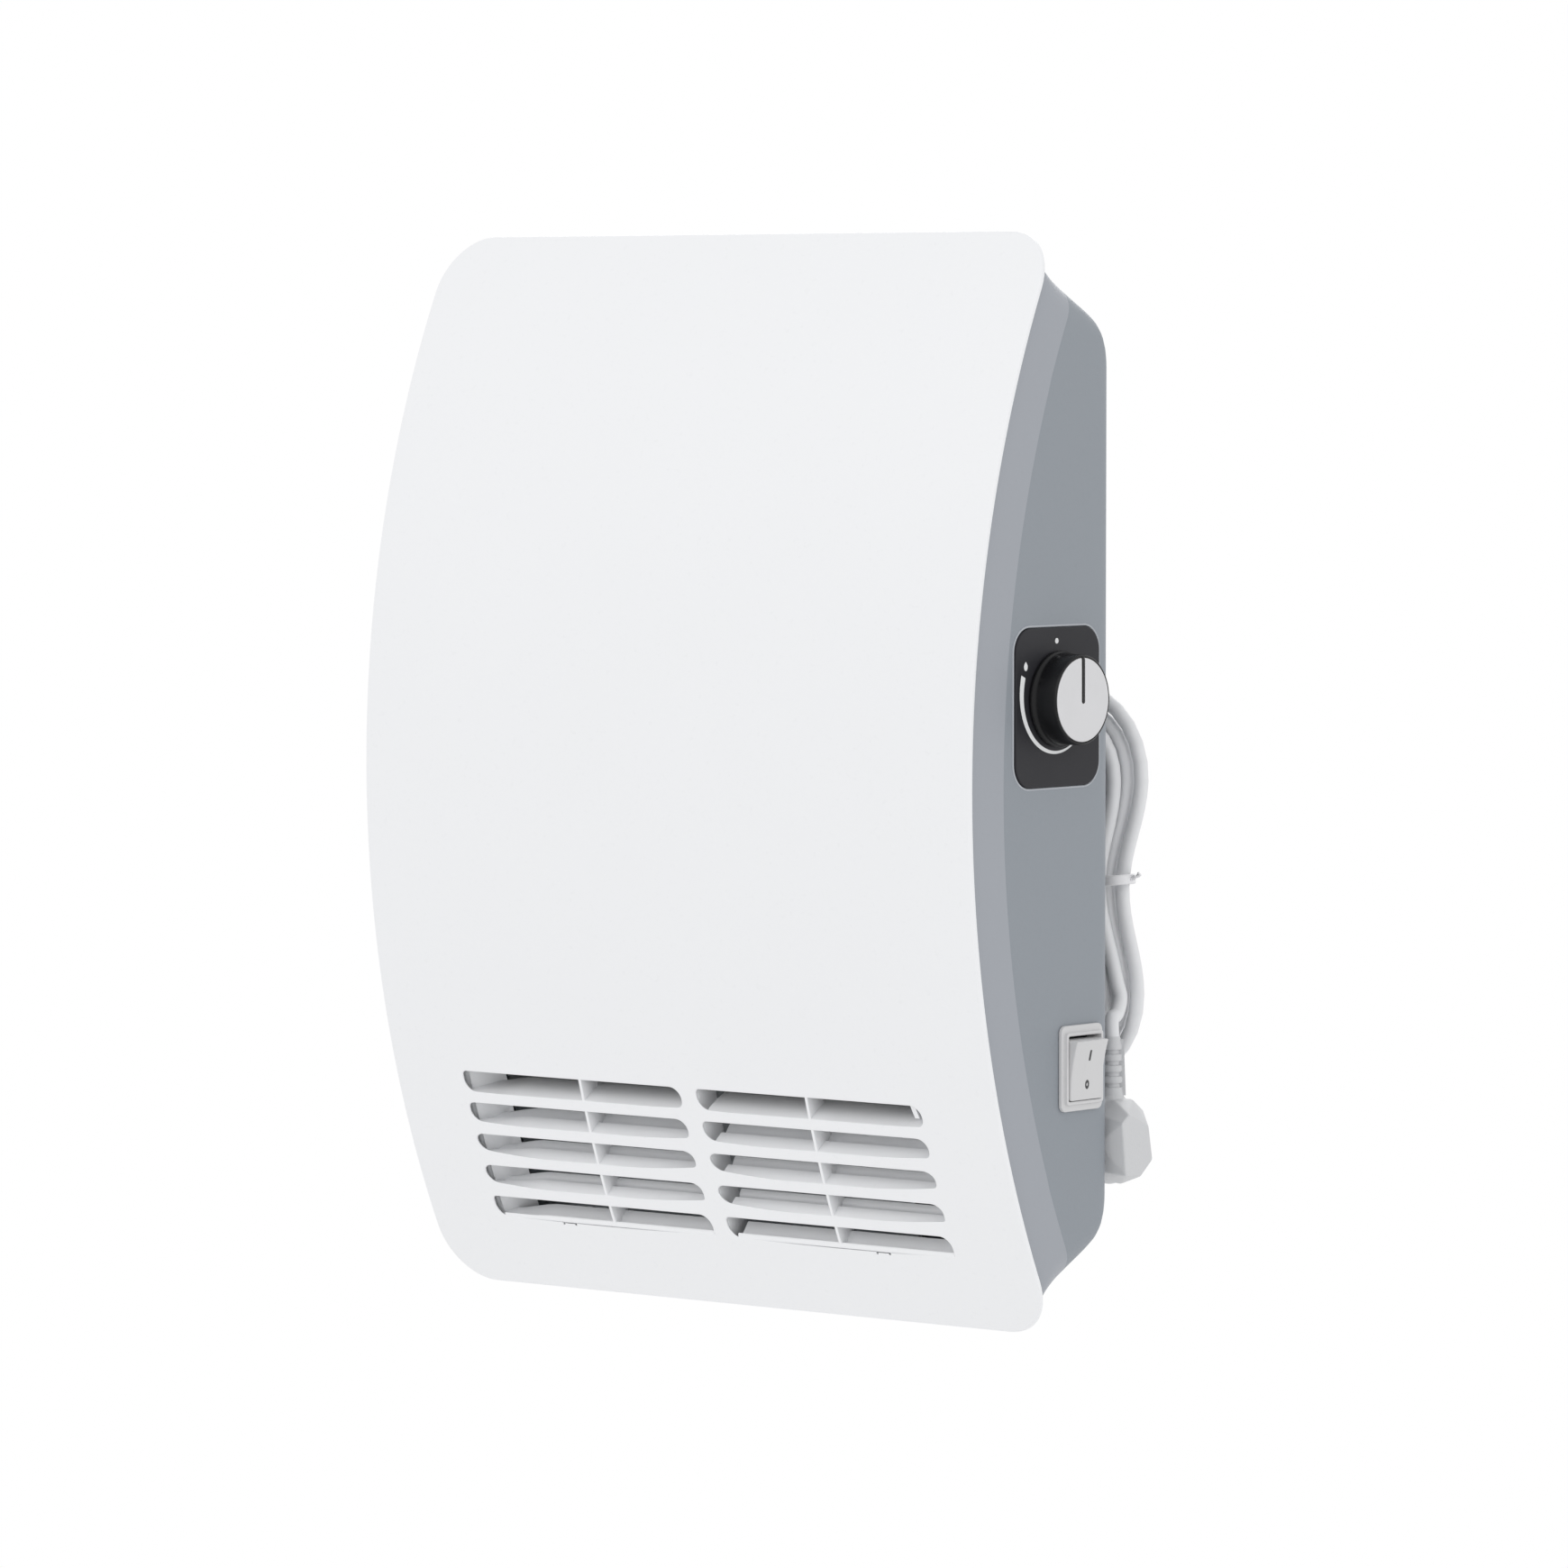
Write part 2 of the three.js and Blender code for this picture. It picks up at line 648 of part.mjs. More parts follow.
function makeKnob() {
  const centre = [0, plate.y, knob.z];
  const [back, top] = [knobBack, knobBack + knob.height];
  const floor = top - knob.capThick - 0.2;
  const skirt = revolve(
    [
      [0, back],
      [knob.base, back],
      [knob.base, back + 1.6],
      [knob.rim + 0.35, back + 2.4],
      [knob.rim, top - 0.6],
      [knob.rim - 0.5, top],
      [knob.capRadius + gap, top],
      [knob.capRadius + gap, floor],
      [0, floor],
    ],
    "x",
    centre,
    28,
  );
  const rib = box(
    [floor - 1, top],
    [plate.y - knob.pointer / 2, plate.y + knob.pointer / 2],
    [knob.z, knob.z + knob.capRadius],
  );
  const bore = cylinder(spindle.bore, "x", back - 1, back + 8.5, centre, 20);
  place("thermostat_knob", cut(join(skirt, rib), bore), black);
  const disc = revolve(
    [
      [0, floor + gap],
      [knob.capRadius, floor + gap],
      [knob.capRadius, top],
      [knob.capRadius - 0.4, top + 0.3],
      [0, top + 0.3],
    ],
    "x",
    centre,
    28,
  );
  const halfSlot = knob.pointer / 2 + gap;
  const pointerSlot = box(
    [floor - 1, top + 2],
    [plate.y - halfSlot, plate.y + halfSlot],
    [knob.z - gap, knob.z + knob.base],
  );
  place("knob_cap", cut(disc, pointerSlot), silver);
  const stem = cylinder(spindle.radius, "x", 157, back + 8, centre, 20);
  const flat = box([back, back + 9], [plate.y - 5, plate.y + 5], [knob.z - 5, knob.z - 2.2]);
  place("thermostat_spindle", cut(stem, flat), steel);
}

function makeThermostat() {
  const centre = [0, plate.y, knob.z];
  const face = shellInside - gap;
  const block = box([150, face], [plate.y - 14, plate.y + 14], [knob.z - 16, knob.z + 16]);
  const neck = cylinder(4.7, "x", face - 1, plateFloor - 0.2, centre, 20);
  const bore = cylinder(spindle.bore, "x", 156, 180, centre, 20);
  const tabs = [-8, 8].map((dz) =>
    box([142, 151], [plate.y - 0.4, plate.y + 0.4], [knob.z + dz - 3, knob.z + dz + 3]),
  );
  place("thermostat_body", cut(join(block, neck, ...tabs), bore), ceramic);
}

const bezelNeck = {
  width: rocker.width + 2 * (bezel.playY + bezel.wall),
  height: rocker.height + 2 * (bezel.playZ + bezel.wall),
};
const pivotX = shell.halfWidth - 0.4;

function makeSwitch() {
  const { width, height } = rocker;
  const opening = roundedRect(rocker.y, rocker.z, width + 2 * bezel.playY, height + 2 * bezel.playZ, 0.6);
  const seat = shell.halfWidth + gap;
  const flange = extrude(
    roundedRect(rocker.y, rocker.z, bezel.width, bezel.height, bezel.corner),
    "x",
    seat,
    seat + bezel.flange,
  );
  const surround = extrude(
    roundedRect(rocker.y, rocker.z, bezelNeck.width, bezelNeck.height, 1.5),
    "x",
    seat - bezel.neck,
    seat + bezel.surround,
  );
  const pinHoles = cylinder(
    rocker.pin + gap,
    "y",
    rocker.y - bezelNeck.width,
    rocker.y + bezelNeck.width,
    [pivotX, 0, rocker.z],
    16,
  );
  const through = extrude(opening, "x", 150, 180);
  const pinDepth = box(
    [pivotX - 3, pivotX + 3],
    [rocker.y - rocker.width / 2 - 1.5, rocker.y + rocker.width / 2 + 1.5],
    [rocker.z - 3, rocker.z + 3],
  );
  place("switch_bezel", cut(join(flange, surround), through, pinHoles.intersect(pinDepth)), switchGrey);

  const bodyTop = seat - bezel.neck - gap;
  const shellBody = extrude(
    roundedRect(rocker.y, rocker.z, bezelNeck.width, bezelNeck.height, 1.5),
    "x",
    bodyTop - 17,
    bodyTop,
  );
  const tabs = [-8, 0, 8].map((dz) =>
    box(
      [bodyTop - 25, bodyTop - 16],
      [rocker.y - 3, rocker.y + 3],
      [rocker.z + dz - 0.4, rocker.z + dz + 0.4],
    ),
  );
  place("switch_body", cut(join(shellBody, ...tabs), extrude(opening, "x", bodyTop - 8, 180)), moulding);

  // The rocker is drawn level about its pivot, then tipped to off: its upper end stands out.
  const half = rocker.height / 2;
  const profile = new THREE.Shape();
  profile.moveTo(-5, -6);
  profile.lineTo(-1.5, -half + 0.3);
  profile.lineTo(rocker.crown, -half);
  profile.quadraticCurveTo(rocker.crown - 2 * rocker.dish, 0, rocker.crown, half);
  profile.lineTo(-1.5, half - 0.3);
  profile.lineTo(-5, 6);
  const options = { depth: rocker.width, bevelEnabled: false, curveSegments: 10 };
  const geometry = new THREE.ExtrudeGeometry(profile, options)
    .applyMatrix4(axisTurns.y)
    .translate(0, rocker.width / 2, 0);
  const pins = cylinder(
    rocker.pin,
    "y",
    -rocker.width / 2 - 1.2,
    rocker.width / 2 + 1.2,
    [0, 0, 0],
    16,
  );
  const mesh = place("switch_rocker", join(solid(geometry), pins), switchGrey);
  mesh.position.set(pivotX, rocker.y, rocker.z);
  mesh.rotation.y = radians(rocker.tilt);
}

// ---------------------------------------------------------------- fan and motor

// One forward-curved blade of the cross-flow wheel, as an outline across its length.
function bladeOutline(angle) {
  const [points, thick] = [[], 0.9];
  for (const side of [1, -1])
    for (let i = 0; i <= 2; i++) {
      const t = side > 0 ? i / 2 : 1 - i / 2;
      const r = fanInner + (fan.radius - 0.4 - fanInner) * t;
      const swing = angle + 0.34 * t * t + (side * thick) / 2 / r;
      points.push(new THREE.Vector2(fan.y + r * Math.cos(swing), fan.z + r * Math.sin(swing)));
    }
  return new THREE.Shape(points);
}

function ring(outer, inner, from, to, segments) {
  const centre = [0, fan.y, fan.z];
  return cut(
    cylinder(outer, "x", from, to, centre, segments),
    cylinder(inner, "x", from - 1, to + 1, centre, segments),
  );
}

function makeFan() {
  const { from, to, disc } = fan;
  const middle = (from + to) / 2;
  const hubs = [
    [from, from + 10],
    [to - 10, to],
  ].map(([a, b]) => cylinder(7, "x", a, b, [0, fan.y, fan.z], 16));
  let made = join(
    ring(fan.radius, 3, from, from + disc, 30),
    ring(fan.radius, 3, to - disc, to, 30),
    ...hubs,
  );
  const blades = [];
  for (let i = 0; i < fan.blades; i++) {
    const outline = bladeOutline((2 * Math.PI * i) / fan.blades);
    blades.push(extrude(outline, "x", from + 0.5, to - 0.5));
  }
  made = join(made, ring(fan.radius, fanInner - 2, middle - 1, middle + 1, 30), ...blades);
  made = made.subtract(cylinder(shaft.radius + gap, "x", from - 1, to + 1, [0, fan.y, fan.z]));
  place("fan_wheel", made, moulding);
  const centre = [0, fan.y, fan.z];
  place("fan_shaft", cylinder(shaft.radius, "x", shaft.from, shaft.to, centre, 24), steel);
}

function makeMotor() {
  const centre = [0, fan.y, fan.z];
  const { from, to, halfWidth: w, halfHeight: h } = motor;
  place("motor_rotor", ring(motor.rotor, shaft.radius + gap, from, to, 24), aluminium);
  const frame = extrude(roundedRect(fan.y, fan.z + 10, 2 * w, 2 * h, 2), "x", from, to);
  const coilWindow = box([from - 1, to + 1], [fan.y - 20, fan.y + 20], [fan.z + 22, fan.z + 34]);
  const bore = cylinder(motor.bore, "x", from - 1, to + 1, centre, 24);
  place("motor_stator", cut(frame, bore, coilWindow), steel);
  const limb = [fan.z + 34 - gap, fan.z + 10 + h + gap];
  const coil = cut(
    box([from - 9, to + 9], [fan.y - 19, fan.y + 19], [limb[0] - 11, limb[1] + 8]),
    box([from - gap, to + gap], [fan.y - 25, fan.y + 25], limb),
  );
  place("motor_coil", coil, copper);
  [
    ["inner", motorBracketInner, -1],
    ["outer", to + gap, 1],
  ].forEach(([name, start, side]) => {
    const bar = extrude(roundedRect(fan.y, fan.z, 2 * w - 2, 16, 6), "x", start, start + 3);
    const boss = cylinder(8, "x", side > 0 ? start : start - 4, side > 0 ? start + 7 : start + 3, centre, 14);
    const seat = cylinder(5 + gap, "x", start - 9, start + 12, centre, 14);
    place(`motor_bracket_${name}`, cut(join(bar, boss), seat), aluminium);
    const bush = [side > 0 ? start : start - 4, side > 0 ? start + 7 : start + 3];
    place(`motor_bearing_${name}`, ring(5, shaft.radius + 0.08, ...bush, 16), brass);
  });
}

// ---------------------------------------------------------------- duct and heating element

const aroundFan = (angle, radius) => [
  fan.y + radius * Math.cos(radians(angle)),
  fan.z + radius * Math.sin(radians(angle)),
];

// A curved sheet: a line of points given a thickness to its left, drawn out across the duct.
function curvedSheet(points, thick, from, to) {
  const curve = new THREE.SplineCurve(points.map(([y, z]) => new THREE.Vector2(y, z)));
  const line = curve.getPoints(20);
  const offset = line.map((p, i) => {
    const [a, b] = [line[Math.max(0, i - 1)], line[Math.min(line.length - 1, i + 1)]];
    const along = b.clone().sub(a).normalize();
    return new THREE.Vector2(p.x - along.y * thick, p.y + along.x * thick);
  });
  return extrude(new THREE.Shape([...line, ...offset.reverse()]), "x", from, to);
}

function makeDuct() {
  const [from, to] = [duct.from + duct.side + gap, duct.to - duct.side - gap];
  const scroll = [
    aroundFan(68, fan.radius + 3),
    aroundFan(35, fan.radius + 4),
    aroundFan(0, fan.radius + 5.5),
    [-49.5, -90],
    [-53, -120],
    [-59, -155],
    [-67, -185],
    [-76, -203],
    [-84, -208.5],
  ];
  place("fan_scroll", curvedSheet(scroll, duct.wall, from, to), steel);
  const tongue = [aroundFan(-150, fan.radius + 2.5), [-115, -98], [bowY(-112, panelBack) + 3, -112], [bowY(-127, panelBack) + 2, -127]];
  place("fan_tongue", curvedSheet(tongue, -duct.wall, from, to), steel);
  const outline = new THREE.Shape();
  [
    [rearPanelInside - 0.6, -30],
    [rearPanelInside - 0.6, -150],
    [-59, -196],
    [-66, -204],
    [bowY(-204) + 18, -204],
    [bowY(-180) + 20, -180],
    [bowY(-150) + 20, -150],
    [bowY(-126) + 20, -126],
    [bowY(-120, panelBack) + 1, -118],
    [bowY(-90, panelBack) + 1, -90],
    [bowY(-60, panelBack) + 1, -60],
    [bowY(-30, panelBack) + 1, -30],
  ].forEach(([y, z], i) => outline[i ? "lineTo" : "moveTo"](y, z));
  const centre = [0, fan.y, fan.z];
  for (const [name, start, hole] of [
    ["left", duct.from, 9],
    ["right", duct.to - duct.side, 12],
  ]) {
    let sheet = extrude(outline, "x", start, start + duct.side);
    if (name === "right")
      for (const side of [-1, 1]) {
        const post = [0, fan.y + side * motor.postReach, fan.z];
        sheet = sheet.add(cylinder(4, "x", duct.to - 1, motorBracketInner - gap, post, 14));
      }
    place(`duct_side_${name}`, cut(sheet, cylinder(hole, "x", start - 5, start + 5, centre, 20)), steel);
  }
  const bushFrom = duct.from - 3;
  place("fan_bearing_grommet", ring(9 - gap, 5 + gap, bushFrom, duct.from + duct.side + 1, 14), rubber);
  place("fan_bearing", ring(5, shaft.radius + 0.08, bushFrom, duct.from + duct.side + 1, 16), brass);
}

// The element is modelled flat about its own centre, then turned across the duct.
function makeHeatingElement() {
  const turned = new THREE.Group();
  turned.position.set((duct.from + duct.to) / 2, heater.y, heater.z);
  turned.rotation.x = radians(-heater.turn);
  heaterGroup.add(turned);
  const { width, thick, fins, end } = heater;
  const halfL = (duct.to - duct.from) / 2 - duct.side - gap;
  const [halfW, halfT] = [width / 2, thick / 2];
  const frame = cut(
    box([-halfL, halfL], [-halfW, halfW], [-halfT, halfT]),
    box([-halfL + end, halfL - end], [-halfW + 3, halfW - 3], [-halfT - 1, halfT + 1]),
  );
  place("heater_frame", frame, ceramic, turned);
  const barHalf = halfL - end - gap;
  ["front", "rear"].forEach((name, i) => {
    const y = (i ? 1 : -1) * (halfW - 3) * 0.5;
    const [core, fin] = [2.2, halfW / 2 - 2.2];
    const pieces = [box([-barHalf, barHalf], [y - core, y + core], [-2.4, 2.4])];
    for (let k = 0; k < fins; k++) {
      const x = -barHalf + 4 + ((2 * barHalf - 8) * k) / (fins - 1);
      pieces.push(box([x - 0.4, x + 0.4], [y - fin, y + fin], [-4.4, 4.4]));
    }
    place(`heating_bar_${name}`, join(...pieces), aluminium, turned);
  });
}

function makeSafetyCutout() {
  const x = duct.to + gap;
  const [y, z] = [-92, -118];
  const can = cylinder(8, "x", x, x + 7, [0, y, z], 24);
  const tabs = [-4, 4].map((dz) => box([x + 6, x + 14], [y - 3, y + 3], [z + dz - 0.4, z + dz + 0.4]));
  place("thermal_cutout", join(can, ...tabs), brass);
}

// ---------------------------------------------------------------- inside wiring

function makeWiring() {
  const [tx, ty] = [(hood.from + hood.to) / 2, rearPanelInside - 8.4];
  const block = box([tx - 14, tx + 14], [ty - 13, ty], [-4, 12]);
  const wells = [-8, 0, 8].map((dx) => cylinder(2.4, "y", ty - 14, ty - 4, [tx + dx, 0, 4], 12));
  const foot = box([tx - 3, tx + 3], [ty - 1, rearPanelInside - gap], [-4, 12]);
  place("terminal_block", cut(join(block, foot), ...wells), ceramic);
  const wires = {
    wire_live_in: [
      [tx + 14.4, ty - 4, 4],
      [105, -50.5, 3],
      [135, -49.5, -6],
      [149, -50, -35],
      [150, -51, -75],
      [143, -52, -100],
      [133.5, -54, -115],
      [132.5, -58, -124],
      [133.8, rocker.y, rocker.z - 7.8],
      [137, rocker.y, rocker.z - 8],
    ],
    wire_switched: [
      [137.3, rocker.y, rocker.z + 8],
      [133.5, -61, -109.5],
      [133, -63, -101],
      [141, -67, -95],
      [149, -71, -80],
      [150, -75, -45],
      [148, plate.y, -10],
      [139, plate.y, 10],
      [136, plate.y, 22],
      [137.8, plate.y, knob.z - 8.5],
      [141.3, plate.y, knob.z - 8],
    ],
    wire_to_cutout: [
      [141.6, plate.y, knob.z + 8],
      [137.5, plate.y - 1, 45],
      [134, -88, 38],
      [134, -112, 10],
      [133, -121.5, -30],
      [130, -122, -70],
      [122, -117, -98],
      [116, -102, -112],
      [114, -93, -113.5],
      [duct.to + 14.7, -92, -114],
    ],
  };
  const insulation = finish(0x7a3f2c, 0.6);
  Object.entries(wires).forEach(([name, points]) => place(name, tube(points, 1.3, 6, 13), insulation));
}

// ---------------------------------------------------------------- mains lead, hank and plug

// The hank's centre line at s loops: it spirals in on the rear layer, climbs along a run, and spirals
// out again on the front layer. Its runs are drawn in at the waist, where the tie holds them.
const foldShare = (Math.PI * 25) / 2;
const runLength = 2 * hank.halfRun * 1.02;
const loopLength = 4 * foldShare + 2 * runLength;
const [quarter, run] = [foldShare / loopLength, runLength / loopLength];
const [climbFrom, climbTo] = [hank.turnIn - hank.climb, hank.turnIn + hank.climb];

function hankOffset(s) {
  if (s < climbFrom) return (climbFrom - s) * hank.pitch;
  if (s > climbTo) return (s - climbTo) * hank.pitch;
  return -0.8 * Math.sin((Math.PI * (s - climbFrom)) / (climbTo - climbFrom)) ** 2;
}

function hankPoint(s) {
  const t = THREE.MathUtils.smoothstep(s, climbFrom, climbTo);
  const y = hank.rearY + (hank.frontY - hank.rearY) * t;
  const offset = hankOffset(s);
  const r = hank.foldRadius + offset;
  const drawn = (z) => (hank.waist / 2) * (1 + Math.cos((Math.PI * z) / hank.halfRun));
  const fold = (angle, end) => [
    hank.x + r * Math.cos(angle),
    y,
    hank.z + end * hank.halfRun + r * Math.sin(angle),
  ];
  const straight = (side, z) => [hank.x + side * (r - drawn(z)), y, hank.z + z];
  const f = s - Math.floor(s);
  if (f < quarter) return fold((Math.PI / 2) * (1 - f / quarter), 1);
  if (f < quarter + run) return straight(1, hank.halfRun * (1 - (2 * (f - quarter)) / run));
  if (f < 3 * quarter + run) return fold((-Math.PI * (f - quarter - run)) / (2 * quarter), -1);
  if (f < 3 * quarter + 2 * run)
    return straight(-1, hank.halfRun * ((2 * (f - 3 * quarter - run)) / run - 1));
  return fold(Math.PI - ((Math.PI / 2) * (f - 3 * quarter - 2 * run)) / quarter, 1);
}

// Least distance between stretches of a line more than three diameters apart, less the diameter.
function leastGap(points, diameter) {
  const along = [0];
  for (let i = 1; i < points.length; i++)
    along.push(along[i - 1] + points[i].distanceTo(points[i - 1]));
  let least = Infinity;
  for (let i = 0; i < points.length; i++)
    for (let j = i + 1; j < points.length; j++)
      if (along[j] - along[i] > 3 * diameter) least = Math.min(least, points[i].distanceTo(points[j]));
  return { gap: least - diameter, length: along.at(-1) };
}

// A round section carried along a line of points, kept from twisting.
function sweep(points, radius, sides) {
  const count = points.length;
  const tangents = points.map((p, i) =>
    points[Math.min(count - 1, i + 1)].clone().sub(points[Math.max(0, i - 1)]).normalize(),
  );
  let up = new THREE.Vector3(0, 1, 0);
  const rings = points.map((p, i) => {
    up = up.clone().addScaledVector(tangents[i], -up.dot(tangents[i])).normalize();
    const across = new THREE.Vector3().crossVectors(tangents[i], up);
    const ringPoints = [];
    for (let k = 0; k < sides; k++) {
      const angle = (2 * Math.PI * (k + 0.5)) / sides;
      const point = p.clone().addScaledVector(up, radius * Math.sin(angle));
      ringPoints.push(point.addScaledVector(across, radius * Math.cos(angle)).toArray());
    }
    return ringPoints;
  });
  return loft(rings);
}

function makeCord() {
  const radius = cord.diameter / 2;
  const steps = Math.round((hank.end - hank.start) * cord.loopSteps);
  const line = [];
  for (let i = 0; i <= steps; i++)
    line.push(new THREE.Vector3(...hankPoint(hank.start + ((hank.end - hank.start) * i) / steps)));
  const first = line[0];
  const last = line.at(-1);
  const inward = new THREE.Vector3(1, 0, 0);
  const outward = last.clone().sub(line.at(-2)).normalize();
  line.unshift(first.clone().addScaledVector(inward, -cord.diameter));
  line.push(last.clone().addScaledVector(outward, cord.diameter));
  const measured = leastGap(line, cord.diameter);
  console.log(`hank: ${measured.length.toFixed(0)} mm, least gap ${measured.gap.toFixed(2)} mm`);
  place("cord_hank", sweep(line, radius, cord.loopSides), cordGrey);

  const start = line[0];
  const exitX = hood.to + hood.sleeve + gap;
  const lead = [
    [exitX, hood.exitY, hood.z],
    [exitX + 3, hood.exitY, hood.z],
    [(exitX + start.x) / 2, (hood.exitY + hank.rearY) / 2, (hood.z + start.z) / 2],
    [start.x - gap - 3, hank.rearY, start.z],
    [start.x - gap, hank.rearY, start.z],
  ];
  place("cord_lead", tube(lead, radius, cord.tubeSides, 5), cordGrey);
  const end = line.at(-1);
  const leave = (distance) => end.clone().addScaledVector(outward, distance).toArray();
  const tail = [
    leave(gap),
    leave(6.5),
    [plug.x - 0.3, (end.y + plug.y) / 2 - 0.6, (end.z + relief.top) / 2 - 2],
    [plug.x, plug.y, relief.top + 7.5],
    [plug.x, plug.y, relief.top + gap],
  ];
  place("cord_tail", tube(tail, radius, cord.tubeSides, 5), cordGrey);
}

// A strap round the hank's waist, with the twisted ends standing off it.
function makeCordTie() {
  const reach = hank.foldRadius - hank.waist + (climbFrom - hank.start - quarter - run / 2) * hank.pitch;
  const halfX = reach + cord.diameter / 2 + 0.6;
  const halfY = (hank.rearY - hank.frontY) / 2 + cord.diameter / 2 + 0.45;
  const middleY = (hank.rearY + hank.frontY) / 2;
  const [low, high] = [hank.z - 2.2, hank.z + 2.2];
  const outline = (extra) =>
    roundedRect(hank.x, middleY, 2 * (halfX + extra), 2 * (halfY + extra), cord.diameter / 2 + 0.6 + extra);
  const band = cut(
    extrude(outline(0.8), "z", low, high, 3),
    extrude(outline(0), "z", low - 1, high + 1, 3),
  );
  const ear = box(
    [hank.x + halfX + 0.4, hank.x + halfX + 4],
    [middleY - 0.6, middleY + 0.6],
    [hank.z + 0.2, hank.z + 2.2],
  );
  place("cord_tie", join(band, ear), cordGrey);
}

function makePlug() {
  const { x, y, z, radius, face, grip, pin, pinLength } = plug;
  const centre = [0, y, z];
  const body = revolve(
    [
      [0, face],
      [radius - 1, face],
      [radius, face + 1],
      [radius, grip - 17],
      [17, grip - 11],
      [15.5, grip - 5],
      [13.5, grip - 1.6],
      [10, grip],
      [0, grip],
    ],
    "x",
    centre,
    26,
  );
  const neck = cylinder(relief.wide + 1.4, "z", z, relief.top - relief.length - gap, [x, y, 0]);
  const notch = (side) =>
    box(
      [face - 1, face + 13],
      [y + side * radius - (side > 0 ? 2 : 1), y + side * radius + (side > 0 ? 1 : 2)],
      [z - 3.6, z + 3.6],
    );
  place("plug_body", cut(join(body, neck), notch(-1), notch(1)), cordGrey);
  [-1, 1].forEach((side, i) => {
    const [inner, outer] = [y + side * (radius - 2 + gap), y + side * (radius - 0.7)];
    const clip = box(
      [face + 0.4, face + 13 - gap],
      [Math.min(inner, outer), Math.max(inner, outer)],
      [z - 3.2, z + 3.2],
    );
    place(`plug_earth_clip_${i + 1}`, clip, brass);
    const tip = face - gap - pinLength;
    const profile = [
      [0, tip],
      [pin * 0.4, tip],
      [pin * 0.8, tip + 0.7],
      [pin, tip + 2],
      [pin, face - gap],
      [0, face - gap],
    ];
    place(`plug_pin_${i ? "upper" : "lower"}`, revolve(profile, "x", [0, y, z + side * 9.5], 20), brass);
  });
  const { top, length, wide, narrow, ribs } = relief;
  const bottom = top - length;
  const profile = [[0, bottom]];
  for (let i = 0; i < ribs; i++) {
    const r = wide + ((narrow + 0.6 - wide) * i) / ribs;
    const base = bottom + (length * 0.85 * i) / ribs;
    const step = (length * 0.85) / ribs;
    profile.push([r, base], [r, base + step * 0.55], [r - 1.3, base + step * 0.62], [r - 1.3, base + step * 0.98]);
  }
  profile.push([narrow, bottom + length * 0.87], [narrow - 0.6, top], [0, top]);
  place("plug_strain_relief", revolve(profile, "z", [x, y, 0], 14), cordGrey);
}

// ---------------------------------------------------------------- assembly

makeFrontPanel();
makeHousing();
makeRearPanel();
rearScrewPlaces.forEach(([x, z], i) => makeScrew(`rear_panel_screw_${i + 1}`, x, z, rearPanelOutside));
makeWallBracket();
bracketScrewPlaces.forEach(([x, z], i) =>
  makeScrew(`bracket_screw_${i + 1}`, x, z, rearPanelOutside + gap + bracket.thick),
);
makeCordHood();
makeControlPlate();
makeKnob();
makeThermostat();
makeSwitch();
makeFan();
makeMotor();
makeDuct();
makeHeatingElement();
makeSafetyCutout();
makeWiring();
makeCord();
makeCordTie();
makePlug();

export default heaterGroup;
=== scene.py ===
import math

import bmesh
import bpy
from mathutils import Matrix, Vector


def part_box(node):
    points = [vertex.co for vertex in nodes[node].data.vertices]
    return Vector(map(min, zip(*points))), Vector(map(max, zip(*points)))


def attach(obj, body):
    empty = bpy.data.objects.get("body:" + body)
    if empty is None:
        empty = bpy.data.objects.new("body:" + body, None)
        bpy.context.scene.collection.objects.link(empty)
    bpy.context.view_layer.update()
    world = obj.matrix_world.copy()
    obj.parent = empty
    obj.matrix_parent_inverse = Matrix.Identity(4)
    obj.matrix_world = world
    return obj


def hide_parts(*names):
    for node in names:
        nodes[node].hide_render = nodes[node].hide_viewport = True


# Bathroom wall fan heater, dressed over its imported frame. Pieces are drawn in millimetres and come
# down to metres as they become objects. The wall is the plane Y = 0 and the front faces -Y.
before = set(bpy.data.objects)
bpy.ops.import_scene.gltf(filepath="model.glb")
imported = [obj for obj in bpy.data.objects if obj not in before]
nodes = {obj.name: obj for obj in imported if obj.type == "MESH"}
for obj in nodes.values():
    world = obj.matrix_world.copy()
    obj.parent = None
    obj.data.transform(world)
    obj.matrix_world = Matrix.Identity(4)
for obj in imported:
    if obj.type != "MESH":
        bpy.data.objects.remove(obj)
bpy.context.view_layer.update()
scene = bpy.context.scene

camera = {"place": (2.13966, -2.64672, 0.18083), "turn": 39.5, "dip": 3.185, "lens": 179.31, "sensor": 36,
          "reach": 60}
studio = {
    "sky": 0.86,
    "floorZ": -0.9,
    "floorSize": 3.2,
    "lamps": [  # name, place, size, watts
        ("keyLamp", (-1.2, -3.0, 2.4), 2.2, 15),
        ("sideLamp", (3.4, -0.9, 1.2), 2.0, 12),
        ("rearLamp", (-1.5, 2.4, 1.6), 1.8, 24),
    ],
}


def linked(name, data):
    made = bpy.data.objects.new(name, data)
    scene.collection.objects.link(made)
    return made


def makeCamera():
    lens = bpy.data.cameras.new("camera")
    lens.lens = camera["lens"]
    lens.sensor_width = camera["sensor"]
    lens.clip_end = camera["reach"]
    eye = linked("camera", lens)
    eye.location = camera["place"]
    eye.rotation_euler = (math.radians(90 - camera["dip"]), 0, math.radians(camera["turn"]))
    scene.camera = eye


def makeLamps():
    for name, place, size, watts in studio["lamps"]:
        light = bpy.data.lights.new(name, "AREA")
        light.size = size
        light.energy = watts
        lamp = linked(name, light)
        lamp.location = place
        lamp.rotation_euler = (-Vector(place)).to_track_quat("-Z", "Y").to_euler()


makeCamera()
makeLamps()
scene.view_settings.view_transform = "Standard"


